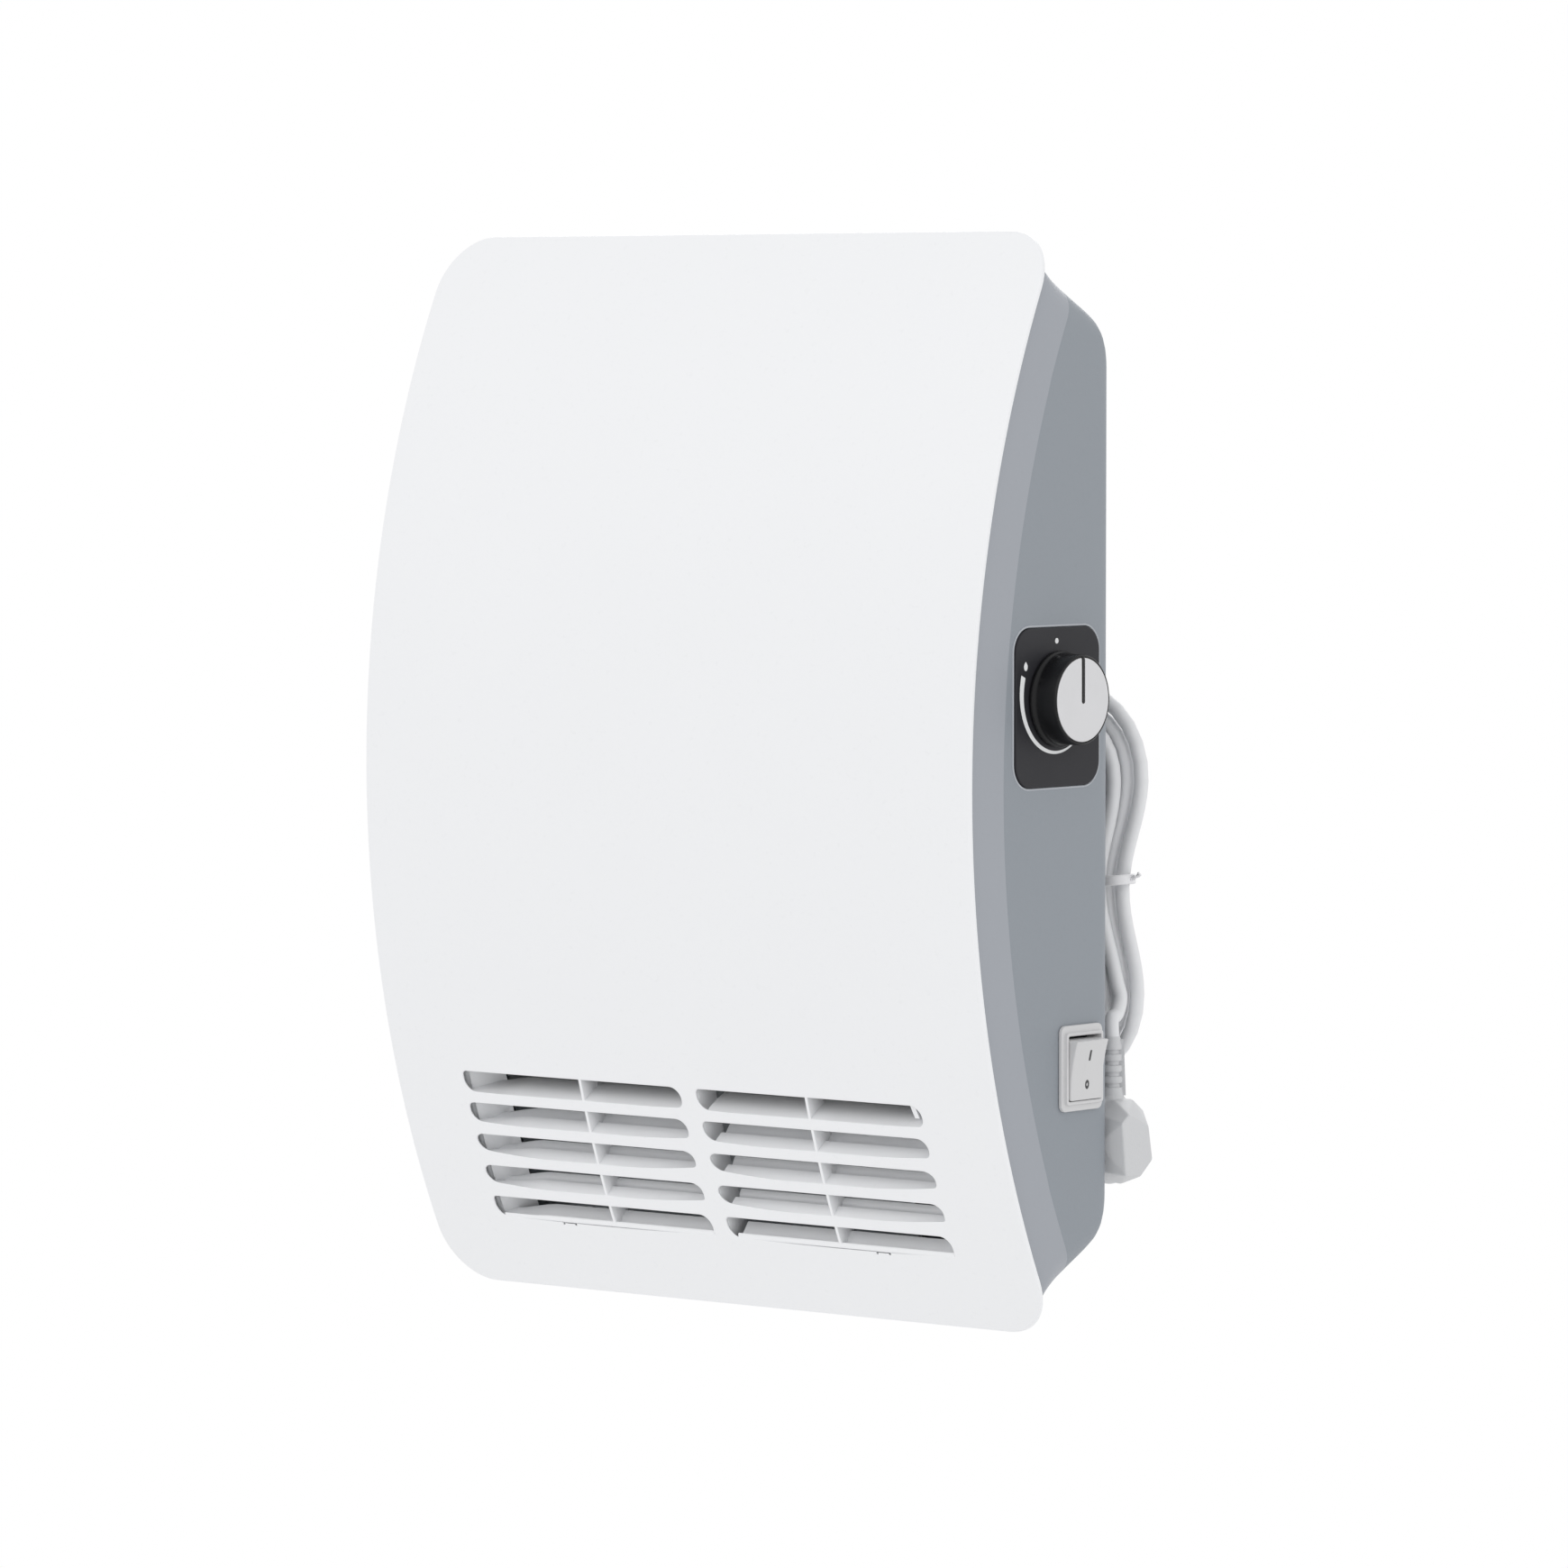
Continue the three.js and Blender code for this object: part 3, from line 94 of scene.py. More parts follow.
class Signal:  # a shader socket that takes part in sums
    def __init__(self, owner, socket):
        self.owner = owner
        self.socket = socket

    def sum(self, operation, first, second):
        return self.owner.node("Math", {"operation": operation}, {0: first, 1: second})

    def __add__(self, other):
        return self.sum("ADD", self, other)

    def __radd__(self, other):
        return self.sum("ADD", other, self)

    def __mul__(self, other):
        return self.sum("MULTIPLY", self, other)

    def __rmul__(self, other):
        return self.sum("MULTIPLY", other, self)


class ShaderTree:  # the nodes of a material or of the world
    def __init__(self, owner):
        owner.use_nodes = True
        self.tree = owner.node_tree

    def node(self, kind, settings=(), values=(), out=0):
        made = self.tree.nodes.new("ShaderNode" + kind)
        for name, value in dict(settings).items():
            setattr(made, name, value)
        for socket, value in dict(values).items():
            self.feed(made.inputs[socket], value)
        return Signal(self, made.outputs[out])

    def feed(self, socket, value):
        if isinstance(value, Signal):
            self.tree.links.new(value.socket, socket)
        elif socket.type == "RGBA" and len(value) == 3:
            socket.default_value = (*value, 1)
        else:
            socket.default_value = value

    def between(self, value, low, high, start=0, end=1):
        return self.node("MapRange", {"clamp": True}, {0: value, 1: low, 2: high, 3: start, 4: end})


class Finish(ShaderTree):  # a material in the making
    def __init__(self, name, **fixed):
        self.material = bpy.data.materials.new(name)
        super().__init__(self.material)
        self.shader = self.tree.nodes["Principled BSDF"]
        for socket, value in fixed.items():
            self.shader.inputs[socket.replace("_", " ")].default_value = value

    def give(self, socket, value):
        self.feed(self.shader.inputs[socket], value)

    def place(self, stretch=(1, 1, 1), centre=(0, 0, 0)):
        at = self.node("TexCoord", out=3)
        return self.node("Mapping", {"vector_type": "POINT"}, {0: at, 1: centre, 3: stretch})

    def noise(self, scale, detail=3, rough=0.5, stretch=(1, 1, 1)):
        return self.node("TexNoise", {}, {"Vector": self.place(stretch), "Scale": scale, "Detail": detail,
                                          "Roughness": rough})

    def mix(self, share, first, second):
        return self.node("Mix", {"data_type": "RGBA"}, {0: share, 6: first, 7: second}, 2)

    def bump(self, height, strength, distance):
        self.give("Normal", self.node("Bump", {}, {"Strength": strength, "Distance": distance,
                                                   "Height": height}))


def linear(*colour):
    # an sRGB colour of 0 to 255 as the shader's own numbers
    return tuple(c / 3294.6 if c < 10.3 else ((c / 255 + 0.055) / 1.055) ** 2.4 for c in colour)


def shade(colour, factor):
    return tuple(min(1, c * factor) for c in colour)


finishes = {}


def moulded(name, colour, rough, grain, grainScale=1600, mottle=0.03, sink=0.0, dust=0.0, sheen=0.5):
    # injection-moulded plastic: faint flow mottling, an eroded grain, and sink marks that only gloss shows
    finish = Finish(name, Specular_IOR_Level=sheen)
    colour = linear(*colour)
    cloud = finish.noise(14, 4, 0.6)
    speck = finish.noise(420, 2, 0.5)
    tone = finish.mix(cloud, shade(colour, 1 - mottle), shade(colour, 1 + mottle))
    tone = finish.mix(finish.between(speck, 0.62, 0.78, 0, 0.35), tone, shade(colour, 0.93))
    if dust:
        up = finish.node("SeparateXYZ", {}, {0: finish.node("NewGeometry", out=1)}, 2)
        film = finish.between(up, 0.35, 0.95) * finish.between(finish.noise(90, 5, 0.65), 0.35, 0.75)
        tone = finish.mix(film * dust, tone, linear(150, 146, 138))
    finish.give("Base Color", tone)
    finish.give("Roughness", finish.between(cloud, 0.25, 0.75, rough - 0.04, rough + 0.06) + speck * 0.04)
    finish.bump(finish.noise(grainScale, 3, 0.6) * grain + finish.noise(26, 2, 0.4) * sink, 0.5, 0.0004)
    finishes[name] = finish.material


def metal(name, colour, rough, brushed, stain=0.06, scale=500):
    # drawn or plated metal: long fine scratches one way, and patches where the surface has dulled
    finish = Finish(name, Metallic=1.0)
    colour = linear(*colour)
    streak = finish.noise(scale, 4, 0.6, brushed)
    patch = finish.noise(38, 5, 0.65)
    tone = finish.mix(patch, shade(colour, 1 - stain), shade(colour, 1 + stain / 2))
    finish.give("Base Color", finish.mix(streak * 0.4, tone, shade(colour, 0.8)))
    finish.give("Roughness", finish.between(streak, 0.3, 0.7, rough - 0.07, rough + 0.08)
                + finish.between(patch, 0.5, 0.8, 0, 0.1))
    finish.bump(streak, 0.12, 0.0002)
    finishes[name] = finish.material


def sheath(name, colour):
    # soft sheath: drawn lengthwise marks, and a bloom that takes the gloss off in patches
    finish = Finish(name, Specular_IOR_Level=0.4)
    colour = linear(*colour)
    cloud = finish.noise(60, 4, 0.6)
    drawn = finish.noise(900, 2, 0.5, (1, 1, 0.05))
    tone = finish.mix(cloud, shade(colour, 0.96), shade(colour, 1.03))
    finish.give("Base Color", finish.mix(drawn * 0.25, tone, shade(colour, 0.9)))
    finish.give("Roughness", finish.between(cloud, 0.3, 0.7, 0.42, 0.55))
    finish.bump(drawn + finish.noise(2600, 2) * 0.5, 0.15, 0.0002)
    finishes[name] = finish.material


def spunCap(name, colour, centre):
    # spun and lacquered face of the knob: fine rings about the knob's own centre
    finish = Finish(name, Metallic=0.6, Coat_Weight=0.25, Coat_Roughness=0.2)
    colour = linear(*colour)
    at = finish.place(centre=tuple(-c for c in centre))
    rings = finish.node("TexWave", {"wave_type": "RINGS", "rings_direction": "X"},
                        {"Vector": at, "Scale": 900, "Distortion": 0.6, "Detail": 3, "Detail Scale": 60})
    cloud = finish.noise(90, 4, 0.6)
    tone = finish.mix(cloud, shade(colour, 0.94), shade(colour, 1.04))
    finish.give("Base Color", finish.mix(rings * 0.12, tone, shade(colour, 0.8)))
    finish.give("Roughness", finish.between(cloud, 0.3, 0.7, 0.3, 0.4) + rings * 0.05)
    finish.bump(rings, 0.08, 0.0001)
    finishes[name] = finish.material


def banded(name, colour, groove, pitch, rough):
    # thin sheets or turns of wire side by side: dark joints square to X, and a tone that drifts
    finish = Finish(name, Metallic=1.0)
    colour = linear(*colour)
    lines = finish.node("TexWave", {"wave_type": "BANDS", "bands_direction": "X"},
                        {"Vector": finish.place(), "Scale": 2 * math.pi / 20 / pitch, "Distortion": 0.4,
                         "Detail": 2, "Detail Scale": 30})
    cloud = finish.noise(70, 4, 0.6)
    tone = finish.mix(cloud, shade(colour, 0.9), shade(colour, 1.06))
    finish.give("Base Color", finish.mix(finish.between(lines, 0.3, 0.05, 0, 0.75), tone, linear(*groove)))
    finish.give("Roughness", finish.between(cloud, 0.3, 0.7, rough, rough + 0.12))
    finish.bump(lines, 0.35, 0.0003)
    finishes[name] = finish.material


moulded("panelWhite", (242, 243, 245), 0.34, 0.12, 1500, 0.006, 0.3)
moulded("housingGrey", (142, 148, 155), 0.5, 0.55, 1900, 0.02, 0.2)
# painted light: a paler copy of the housing's grey for the band in front of the crease, a little smoother too
moulded("paintedLightBandGrey", (159, 163, 170), 0.44, 0.3, 1900, 0.02, 0.2)
# painted highlight: a paler grey for the bead round the plate's recess
moulded("paintedHighlightBeadGrey", (176, 180, 186), 0.4, 0.2, 1900, 0.02)
moulded("rearGrey", (70, 73, 77), 0.55, 0.6, 1500, 0.04, dust=0.25)
moulded("plateBlack", (42, 42, 46), 0.42, 0.35, 2200, 0.05, sheen=0.22)
moulded("knobBlack", (18, 18, 20), 0.25, 0.06, 2200, 0.05, sheen=0.25)
moulded("printWhite", (236, 237, 238), 0.6, 0.1, 3000, 0.01)
moulded("printDark", (62, 62, 64), 0.55, 0.1, 3000, 0.02)
moulded("switchGrey", (208, 208, 209), 0.33, 0.15, 2200, 0.012, 0.2)
moulded("plugGrey", (205, 206, 208), 0.48, 0.4, 1700, 0.015, 0.3)
moulded("tieGrey", (234, 234, 236), 0.45, 0.2, 1800, 0.02)
moulded("sleeveRubber", (44, 44, 46), 0.7, 0.5, 1400, 0.06, dust=0.2)
moulded("fanDark", (58, 60, 63), 0.5, 0.4, 1500, 0.05, dust=0.3)
moulded("ceramic", (214, 206, 190), 0.82, 0.9, 900, 0.04)
moulded("insulation", (118, 64, 48), 0.5, 0.1, 1200, 0.05)
metal("bracketSteel", (178, 181, 184), 0.42, (1, 1, 0.06))
metal("screwSteel", (196, 198, 200), 0.3, (1, 1, 1), 0.04, 900)
metal("sheetSteel", (168, 171, 174), 0.4, (0.05, 1, 1))
metal("aluminium", (196, 199, 202), 0.38, (0.2, 1, 1))
metal("brass", (206, 178, 116), 0.3, (0.1, 1, 1), 0.08, 700)
metal("nickel", (188, 186, 180), 0.24, (0.1, 1, 1), 0.05, 700)
banded("laminated", (120, 122, 126), (48, 46, 46), 0.0007, 0.42)
banded("copper", (186, 108, 62), (88, 42, 22), 0.0005, 0.3)
sheath("cordGrey", (230, 231, 233))
spunCap("knobSilver", (214, 214, 216), (0.1815, -0.0765, 0.036))  # the middle of its face


def makeSky():
    # lights the object less than the white that it shows behind it and in its gloss
    world = bpy.data.worlds.new("studio")
    sky = ShaderTree(world)
    seen = sky.node("LightPath", out="Is Camera Ray")
    for kind in ("Is Glossy Ray", "Is Transmission Ray"):
        seen = sky.node("Math", {"operation": "MAXIMUM"}, {0: seen, 1: sky.node("LightPath", out=kind)})
    back = sky.tree.nodes["Background"].inputs
    sky.feed(back["Strength"], sky.between(seen, 0, 1, studio["sky"], 1))
    sky.feed(back["Color"], (1, 1, 1))
    scene.world = world


def meshed(name, bm):
    mesh = bpy.data.meshes.new(name)
    bm.to_mesh(mesh)
    bm.free()
    return mesh


def makeFloor():
    bm = bmesh.new()
    bmesh.ops.create_grid(bm, x_segments=8, y_segments=8, size=studio["floorSize"] / 2)
    bmesh.ops.translate(bm, vec=(0, 0, studio["floorZ"]), verts=bm.verts)
    finish = Finish("floorPale", Roughness=0.8)
    finish.give("Base Color", finish.mix(finish.noise(3), linear(238, 238, 238), linear(246, 246, 246)))
    mesh = meshed("floor", bm)
    mesh.materials.append(finish.material)
    linked("floor", mesh)


makeSky()
makeFloor()
print("camera, lamps, finishes and floor are ready")


def asObject(name, bm):
    bmesh.ops.scale(bm, vec=(0.001, 0.001, 0.001), verts=bm.verts)
    return linked(name, meshed(name, bm))


def smooth(mesh, sharp):
    mesh.shade_smooth()
    mesh.set_sharp_from_angle(angle=math.radians(sharp))


def asPiece(name, bm, finish, replaced=(), body="heater_body", sharp=32, turned=True):
    if turned:
        bmesh.ops.recalc_face_normals(bm, faces=bm.faces)
    piece = asObject(name, bm)
    smooth(piece.data, sharp)
    piece.data.materials.append(finishes[finish])
    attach(piece, body)
    if replaced:
        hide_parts(*replaced)
    return piece


def evaluated(thing):
    return bpy.data.meshes.new_from_object(thing.evaluated_get(bpy.context.evaluated_depsgraph_get()))


def carve(piece, drawings, sharp):
    # cuts each drawing out of a finished piece
    for bm in drawings:
        bmesh.ops.recalc_face_normals(bm, faces=bm.faces)
        cutter = asObject("cutter", bm)
        tool = piece.modifiers.new("carve", "BOOLEAN")
        tool.operation = "DIFFERENCE"
        tool.solver = "EXACT"
        tool.object = cutter
        whole = piece.data
        piece.data = evaluated(piece)
        piece.modifiers.clear()
        piece.data.name = whole.name
        bpy.data.meshes.remove(whole)
        bpy.data.objects.remove(cutter)
    smooth(piece.data, sharp)


def oval(across, along, count):
    angles = [2 * math.pi * i / count for i in range(count)]
    return [(across * math.cos(a), along * math.sin(a)) for a in angles]


def roundedRing(halfU, halfV, corners, perCorner=6, perSide=1):
    # Points and outward normals round a rectangle, from its right side's upper end, anticlockwise.
    # corners: upper right, upper left, lower left, lower right.
    if not isinstance(corners, (list, tuple)):
        corners = [corners] * 4
    signs = [(1, 1), (-1, 1), (-1, -1), (1, -1)]

    def onCorner(k, angle):
        (u, v), radius = signs[k % 4], corners[k % 4]
        right, up = radius * math.cos(angle), radius * math.sin(angle)
        return u * (halfU - radius) + right, v * (halfV - radius) + up

    points = []
    for k in range(4):
        for i in range(perCorner + 1):
            angle = math.pi / 2 * (k + i / perCorner)
            points.append((*onCorner(k, angle), math.cos(angle), math.sin(angle)))
        first, last = Vector(points[-1][:2]), Vector(onCorner(k + 1, math.pi / 2 * (k + 1)))
        points += [(*first.lerp(last, i / perSide), *points[-1][2:]) for i in range(1, perSide)]
    return points


def tagged(bm):
    return bm.verts.layers.int.get("mark") or bm.verts.layers.int.new("mark")


def startRing(bm, places, firstMark=0):
    # a closed loop of edges, its points moved on to the places in turn
    tag = tagged(bm)
    made = bmesh.ops.create_circle(bm, cap_ends=False, segments=len(places), radius=1)["verts"]
    made.sort(key=lambda vert: math.atan2(vert.co.x, -vert.co.y) % (2 * math.pi))
    for i, vert in enumerate(made):
        vert[tag] = firstMark + i
        vert.co = places[i]
    fresh = set(made)
    return [edge for edge in bm.edges if edge.verts[0] in fresh and edge.verts[1] in fresh]


def growRing(bm, edges, place):
    # draws edges on to where place puts each marked point
    tag = tagged(bm)
    made = bmesh.ops.extrude_edge_only(bm, edges=edges)["geom"]
    fresh = {item for item in made if isinstance(item, bmesh.types.BMVert)}
    for vert in fresh:
        vert.co = place(vert[tag])
    return [item for item in made if isinstance(item, bmesh.types.BMEdge)
            and item.verts[0] in fresh and item.verts[1] in fresh]


def fill(bm, edges, normal):
    bmesh.ops.triangle_fill(bm, use_beauty=True, edges=edges, normal=normal)


def loft(bm, place, marks, stations, capped=False):
    # a skin through stations, where place puts each marked point: closed on itself, or capped across X
    first = edges = startRing(bm, [place(mark, 0) for mark in range(marks)])
    for k in range(1, stations):
        edges = growRing(bm, edges, lambda mark: place(mark, k))
    if capped:
        fill(bm, first, (-1, 0, 0))
        fill(bm, edges, (1, 0, 0))
    else:
        bmesh.ops.remove_doubles(bm, verts=bm.verts, dist=1e-3)


def spun(bm, profile, centre, axis="X", segments=64):
    # a profile of (along, radius) turned about an axis through centre
    along = Vector([float(name == axis) for name in "XYZ"])
    out = Vector((1, 0, 0)) if axis == "Z" else Vector((0, 0, 1))
    verts = [bm.verts.new(Vector(centre) + along * a + out * r) for a, r in profile]
    edges = [bm.edges.new(pair) for pair in zip(verts, verts[1:])]
    bmesh.ops.spin(bm, geom=verts + edges, cent=centre, axis=along, dvec=(0, 0, 0),
                   angle=2 * math.pi, steps=segments, use_merge=True)
    bmesh.ops.remove_doubles(bm, verts=bm.verts, dist=1e-4)
    bmesh.ops.recalc_face_normals(bm, faces=bm.faces)


def drawnOut(bm, outline, way):
    # a flat outline drawn out into a solid
    face = bm.faces.new([bm.verts.new(point) for point in outline])
    made = bmesh.ops.extrude_face_region(bm, geom=[face])["geom"]
    bmesh.ops.translate(bm, vec=way, verts=[item for item in made if isinstance(item, bmesh.types.BMVert)])
    bmesh.ops.recalc_face_normals(bm, faces=bm.faces)


def sliced(bm, place, normal, clear=False):
    # cuts across a drawing at a plane, and may clear what lies past it
    bmesh.ops.bisect_plane(bm, geom=bm.verts[:] + bm.edges[:] + bm.faces[:], dist=1e-4, plane_co=place,
                           plane_no=normal, clear_outer=clear)


def bevel(bm, edges, width, segments):
    bmesh.ops.bevel(bm, geom=edges, offset=width, offset_type="OFFSET", segments=segments, profile=0.5,
                    affect="EDGES", clamp_overlap=True, material=-1)


def roundEdges(bm, width, segments, above):
    # rounds the edges that turn by more than an angle
    least = math.radians(above)
    turning = [edge for edge in bm.edges if edge.is_manifold and edge.calc_face_angle(0) > least]
    bevel(bm, turning, width, segments)


def addPart(bm, part):
    mesh = meshed("part", part)
    bm.from_mesh(mesh)
    bpy.data.meshes.remove(mesh)


def block(bm, low, high, rounding=0.0, segments=2):
    # a box from one corner to the other, its edges rounded
    part = bmesh.new()
    bmesh.ops.create_cube(part, size=1)
    bmesh.ops.scale(part, vec=Vector(high) - Vector(low), verts=part.verts)
    bmesh.ops.translate(part, vec=(Vector(low) + Vector(high)) / 2, verts=part.verts)
    if rounding:
        bevel(part, part.edges[:], rounding, segments)
    addPart(bm, part)


def hullOf(bm, points):
    part = bmesh.new()
    for point in points:
        part.verts.new(point)
    made = bmesh.ops.convex_hull(part, input=part.verts)
    bmesh.ops.delete(part, geom=made["geom_interior"], context="VERTS")
    addPart(bm, part)


def holeCutter(shape, low, high):
    # a rounded hole from low to high across X. shape is its width in Y, height in Z, corner and centre
    width, height, corner, y, z = shape
    ring = roundedRing(width / 2, height / 2, corner, 10)
    bm = bmesh.new()
    loft(bm, lambda mark, k: Vector(((low, high)[k], y + ring[mark][0], z + ring[mark][1])), len(ring), 2,
         capped=True)
    return bm


def bezier(t, a, b, c, d):
    return a * (1 - t) ** 3 + 3 * b * t * (1 - t) ** 2 + 3 * c * t * t * (1 - t) + d * t ** 3


def curve(a, b, c, d, count):
    # the points of a cubic curve after its first
    return [tuple(bezier((i + 1) / count, *four) for four in zip(a, b, c, d)) for i in range(count)]


def found(low, high, past):
    # where past first holds between low and high
    for _ in range(40):
        middle = (low + high) / 2
        low, high = (low, middle) if past(middle) else (middle, high)
    return middle


# mains lead, hank and tie
cord = {"diameter": 6.2, "exit": (94.3, -8.3, 37.2), "perLoop": 60}
hank = {"x": 121, "z": -47, "halfRun": 46.5, "foldRadius": 18.6, "pitch": 7.2, "waist": 9,
        "rearY": -4.6, "frontY": -11.7, "turnIn": 1.75, "climb": 0.13, "start": -1, "end": 3.35,
        "meanFold": 25, "slack": 1.02, "tuck": 0.8}
tie = {"halfX": 33.4, "halfY": 7.1, "slant": 0.12, "twists": 10, "ear": (0.35, 1.15, 0.4),
       "strap": [(0, -1.7), (0, 1.7), (0.35, 2.2), (0.9, 1.7), (0.9, -1.7), (0.35, -2.2)]}
plug = {"x": 153.7, "y": -19.6, "z": -153, "radius": 18.7, "pinFace": 142}
relief = {"top": -109, "length": 24, "wide": 4.6, "narrow": 3.8, "ribs": 4}


def hankPoint(s):
    # the hank's centre line at s loops, spiralling in behind and out again in front
    fold = math.pi * hank["meanFold"] / 2
    run = 2 * hank["halfRun"] * hank["slack"]
    quarter, straight = fold / (4 * fold + 2 * run), run / (4 * fold + 2 * run)
    begin, done = hank["turnIn"] - hank["climb"], hank["turnIn"] + hank["climb"]
    t = min(1, max(0, (s - begin) / (done - begin)))
    y = hank["rearY"] + (hank["frontY"] - hank["rearY"]) * t * t * (3 - 2 * t)
    r = hank["foldRadius"] + hank["pitch"] * max(begin - s, s - done, 0)
    r -= hank["tuck"] * math.sin(math.pi * t) ** 2
    half = hank["halfRun"]

    def bent(angle, end):
        return Vector((hank["x"] + r * math.cos(angle), y, hank["z"] + end * half + r * math.sin(angle)))

    def level(side, z):
        drawn = hank["waist"] / 2 * (1 + math.cos(math.pi * z / half))
        return Vector((hank["x"] + side * (r - drawn), y, hank["z"] + z))

    f = s - math.floor(s)
    if f < quarter:
        return bent(math.pi / 2 * (1 - f / quarter), 1)
    if f < quarter + straight:
        return level(1, half * (1 - 2 * (f - quarter) / straight))
    if f < 3 * quarter + straight:
        return bent(-math.pi * (f - quarter - straight) / (2 * quarter), -1)
    if f < 3 * quarter + 2 * straight:
        return level(-1, half * (2 * (f - 3 * quarter - straight) / straight - 1))
    return bent(math.pi - math.pi / 2 * (f - 3 * quarter - 2 * straight) / quarter, 1)


def through(points, steps=8):
    # a smooth line through points: centripetal, so it doesn't swing out between close ones
    ends = [2 * points[0] - points[1], *points, 2 * points[-1] - points[-2]]
    line = []
    for a, b, c, d in zip(ends, ends[1:], ends[2:], ends[3:]):
        t1 = (b - a).length ** 0.5
        t2 = t1 + (c - b).length ** 0.5
        t3 = t2 + (d - c).length ** 0.5
        for i in range(steps):
            t = t1 + (t2 - t1) * i / steps
            p, q, r = a.lerp(b, t / t1), b.lerp(c, (t - t1) / (t2 - t1)), c.lerp(d, (t - t2) / (t3 - t2))
            p, q = p.lerp(q, t / t2), q.lerp(r, (t - t1) / (t3 - t1))
            line.append(p.lerp(q, (t - t1) / (t2 - t1)))
    return line + [points[-1]]


def cordRoute():
    start, end = hank["start"], hank["end"]
    steps = round((end - start) * cord["perLoop"])
    wound = [hankPoint(start + (end - start) * i / steps) for i in range(steps + 1)]
    leaves = wound[0] - Vector((cord["diameter"], 0, 0))
    outward = (wound[-1] - wound[-2]).normalized()
    last = wound[-1] + outward * cord["diameter"]
    exitAt = Vector(cord["exit"])
    lead = through([exitAt, exitAt + Vector((3, 0, 0)), (exitAt + leaves) / 2,
                    leaves - Vector((3.3, 0, 0)), leaves, wound[0]])
    halfway = Vector((plug["x"] - 0.3, (last.y + plug["y"]) / 2 - 0.6, (last.z + relief["top"]) / 2 - 2))
    tail = through([wound[-1], last + outward * 0.3, last + outward * 6.5, halfway,
                    Vector((plug["x"], plug["y"], relief["top"] + 7.5)),
                    Vector((plug["x"], plug["y"], relief["top"] - 1))])
    return lead[:-1] + wound[:-1] + tail


def makeCord():
    route = cordRoute()
    line = bpy.data.curves.new("mainsCord", "CURVE")
    line.dimensions = "3D"
    line.bevel_depth = cord["diameter"] / 2000
    line.bevel_resolution = 6
    line.use_fill_caps = True
    spline = line.splines.new("POLY")
    spline.points.add(len(route) - 1)
    for point, place in zip(spline.points, route):
        point.co = (*(place / 1000), 1)
    spline.use_smooth = True
    line.materials.append(finishes["cordGrey"])
    piece = linked("mainsCord", line)
    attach(piece, "heater_body")
    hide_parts("cord_lead", "cord_hank", "cord_tail")
    long = sum((b - a).length for a, b in zip(route, route[1:]))
    print(f"cord: {len(route)} points, {long:.0f} mm")
    return piece, long / 1000


def makeTie():
    # flat strap round the waist, drawn slantwise over the runs, its two ends twisted together
    bm = bmesh.new()
    halfX, halfY, slant = tie["halfX"], tie["halfY"], tie["slant"]
    middle = (hank["rearY"] + hank["frontY"]) / 2
    ring = roundedRing(halfX, halfY, halfY - 0.4, 8, 14)

    def at(mark, k):
        u, v, nu, nv = ring[mark]
        out, up = tie["strap"][k % len(tie["strap"])]
        return Vector((hank["x"] + u + nu * out, middle + v + nv * out, hank["z"] + up + u * slant))

    loft(bm, at, len(ring), len(tie["strap"]) + 1)
    for k in range(tie["twists"]):
        part = bmesh.new()
        block(part, [-half for half in tie["ear"]], tie["ear"], 0.18, 1)
        bmesh.ops.transform(part, matrix=Matrix.Rotation(math.radians(36 * k), 4, "X"), verts=part.verts)
        bmesh.ops.translate(part, vec=(hank["x"] + halfX + 0.6 + 0.5 * k, middle,
                                       hank["z"] + halfX * slant + 0.25 * k), verts=part.verts)
        addPart(bm, part)
    return asPiece("twistTie", bm, "tieGrey", ["cord_tie"])


# plug and its strain relief
grip = {  # outlines in Y and Z from the plug's centre: the flat of the grip, and its shoulder further in
    "flat": [(-16.5, 9.5), (-12, 12.5), (1.5, 6.8), (4.2, -7.5), (-4, -14), (-14, -13)],
    "shoulder": [(17.2, 3.5), (15.5, -6), (10, -15.5), (-2, -18.2), (-14, -12.3), (-18.2, 0), (-14.5, 11.5),
                 (-6, 17.6), (6, 17.3), (13.5, 12)],
    "flatX": 172, "shoulderX": 160, "voxel": 0.42, "easing": 5,
    "neck": [(-0.4, 4.7, 4.7), (-3.5, 6.2, 5.4), (-12, 12, 9)],  # below the relief: drop, and half sizes
}


def fused(bm, voxel, passes):
    # overlapping parts melted into one skin, then eased as a moulded body is
    mesh = bpy.data.meshes.new("fused")
    bm.to_mesh(mesh)
    body = linked("fused", mesh)
    melt = body.modifiers.new("melt", "REMESH")
    melt.mode = "VOXEL"
    melt.voxel_size = voxel
    skin = evaluated(body)
    bm.clear()
    bm.from_mesh(skin)
    bpy.data.objects.remove(body)
    bpy.data.meshes.remove(mesh)
    bpy.data.meshes.remove(skin)
    for _ in range(passes):
        bmesh.ops.smooth_vert(bm, verts=bm.verts, factor=0.5, use_axis_x=True, use_axis_y=True,
                              use_axis_z=True)


def makePlug():
    bm = bmesh.new()
    y, z, face = plug["y"], plug["z"], plug["pinFace"]
    rim = oval(plug["radius"], plug["radius"], 64)

    def disc(x, share):
        return [(x, y + u * share, z + v * share) for u, v in rim]

    hullOf(bm, disc(face, 0.965) + disc(face + 0.6, 1) + disc(face + 12.4, 1) + disc(face + 13, 0.965))
    hullOf(bm, disc(face + 9, 0.93) + [(grip["shoulderX"], y + u, z + v) for u, v in grip["shoulder"]]
           + [(grip["flatX"], y + u, z + v) for u, v in grip["flat"]])
    top = relief["top"] - relief["length"]
    hullOf(bm, [(plug["x"] + u, y + v, top + drop) for drop, across, deep in grip["neck"]
                for u, v in oval(deep, across, 24)])
    fused(bm, grip["voxel"], grip["easing"])
    return asPiece("plugBody", bm, "plugGrey", ["plug_body"], sharp=60)


